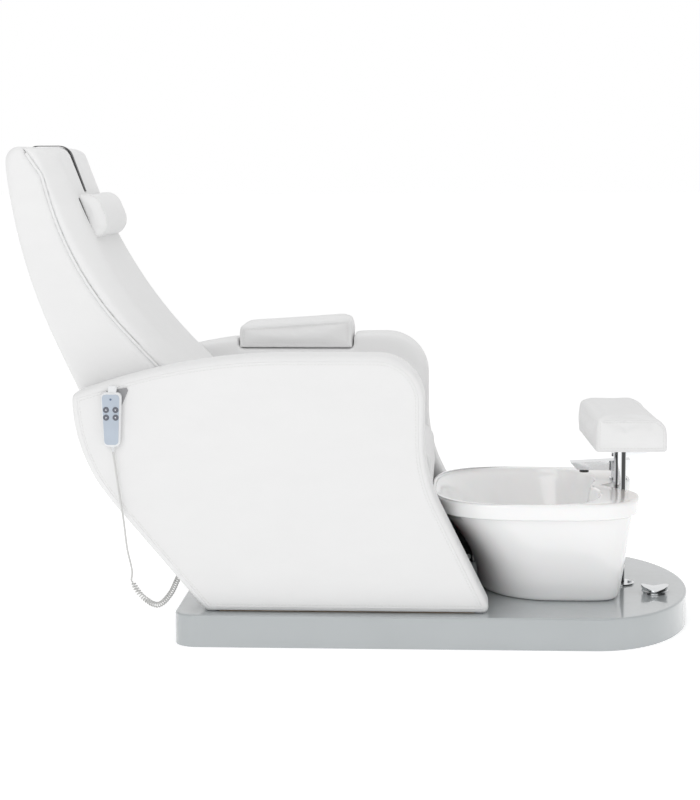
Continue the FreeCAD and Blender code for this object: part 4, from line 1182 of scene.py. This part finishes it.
def dress_cad():
    """Real materials for the CAD pieces, and broken edges where they are seen."""
    slots = {row["node"]: row["material_slot"] for row in frame["record"]["subparts"]}
    for name, node in NODES.items():
        if node.hide_render:
            continue
        node.data.materials.clear()
        node.data.materials.append(SLOT_LOOKS[slots[name]])
        if name in BEVELS:
            break_edges(node, BEVELS[name])


# ---------------------------------------------------------------- studio
AMBIENT = 0.66
MIRRORED = 0.9
FLOOR_GLOW = 0.42
FLOOR_HALF = 60
# name, place, what it points at, power in watts, width
LIGHTS = [("key", (-1.6, -4.2, 2.9), (-0.2, 0, 0.5), 38, 2.6),
          ("fill", (3.2, -2.6, 2.0), (0.3, 0, 0.5), 8, 2.4),
          ("top", (-0.2, 0.4, 3.6), (-0.2, 0, 0.5), 20, 3.0)]


def make_floor():
    """A pale floor, lit a little from within so that it stays as white as the backdrop."""
    corners = [(-FLOOR_HALF, -FLOOR_HALF, 0), (FLOOR_HALF, -FLOOR_HALF, 0),
               (FLOOR_HALF, FLOOR_HALF, 0), (-FLOOR_HALF, FLOOR_HALF, 0)]
    floor = new_object("studio_floor", corners, [(0, 1, 2, 3)])
    floor.location.z = -0.5 * MM
    pale = Shader("studio_floor", (0.90, 0.90, 0.90), 0.8, Emission_Strength=FLOOR_GLOW)
    pale.surface.inputs["Emission Color"].default_value = (1, 1, 1, 1)
    pale.tint(pale.noise(3.0), (0.895,) * 3, (0.905,) * 3)
    floor.data.materials.append(pale.material)


def make_world():
    """Plain white all round: full to the camera, softer as light and in mirrored metal."""
    world = bpy.data.worlds.new("studio")
    SCENE.world = world
    world.use_nodes = True
    tree = world.node_tree
    tree.nodes.clear()
    output = tree.nodes.new("ShaderNodeOutputWorld")
    rays = tree.nodes.new("ShaderNodeLightPath")

    def background(strength):
        made = tree.nodes.new("ShaderNodeBackground")
        made.inputs["Color"].default_value = (1, 1, 1, 1)
        made.inputs["Strength"].default_value = strength
        return made

    def mixed(ray, otherwise, wanted):
        made = tree.nodes.new("ShaderNodeMixShader")
        tree.links.new(rays.outputs[ray], made.inputs[0])
        tree.links.new(otherwise.outputs[0], made.inputs[1])
        tree.links.new(wanted.outputs[0], made.inputs[2])
        return made

    unseen = mixed("Is Glossy Ray", background(AMBIENT), background(MIRRORED))
    shown = mixed("Is Camera Ray", unseen, background(1.0))
    tree.links.new(shown.outputs[0], output.inputs["Surface"])


def make_lights():
    """Large soft lights, most of the light coming from the photograph's side."""
    for name, place, target, power, wide in LIGHTS:
        data = bpy.data.lights.new(name, "AREA")
        data.energy = power
        data.size = wide
        light = bpy.data.objects.new(name, data)
        SCENE.collection.objects.link(light)
        light.location = place
        light.rotation_euler = (Vector(target) - Vector(place)).to_track_quat("-Z", "Y").to_euler()


def make_camera():
    """About as high as the backrest's top, 5.1 m to the sitter's right, tilted a little down."""
    data = bpy.data.cameras.new("camera")
    data.lens = 87.7
    data.sensor_width = 36
    camera = bpy.data.objects.new("camera", data)
    SCENE.collection.objects.link(camera)
    camera.location = (0.0562, -5.137, 1.211)
    camera.rotation_euler = (math.radians(82.91), math.radians(0.21), math.radians(3.22))
    SCENE.camera = camera
    SCENE.view_settings.view_transform = "Standard"


make_cushions()
make_piping()
make_panels()
make_tub()
make_knob()
make_case()
make_strain_relief()
make_indicator()
for label, turn in BUTTON_TURNS.items():
    make_button("button_" + label, turn)
make_cord()
make_coil()
dress_cad()
make_floor()
make_world()
make_lights()
make_camera()
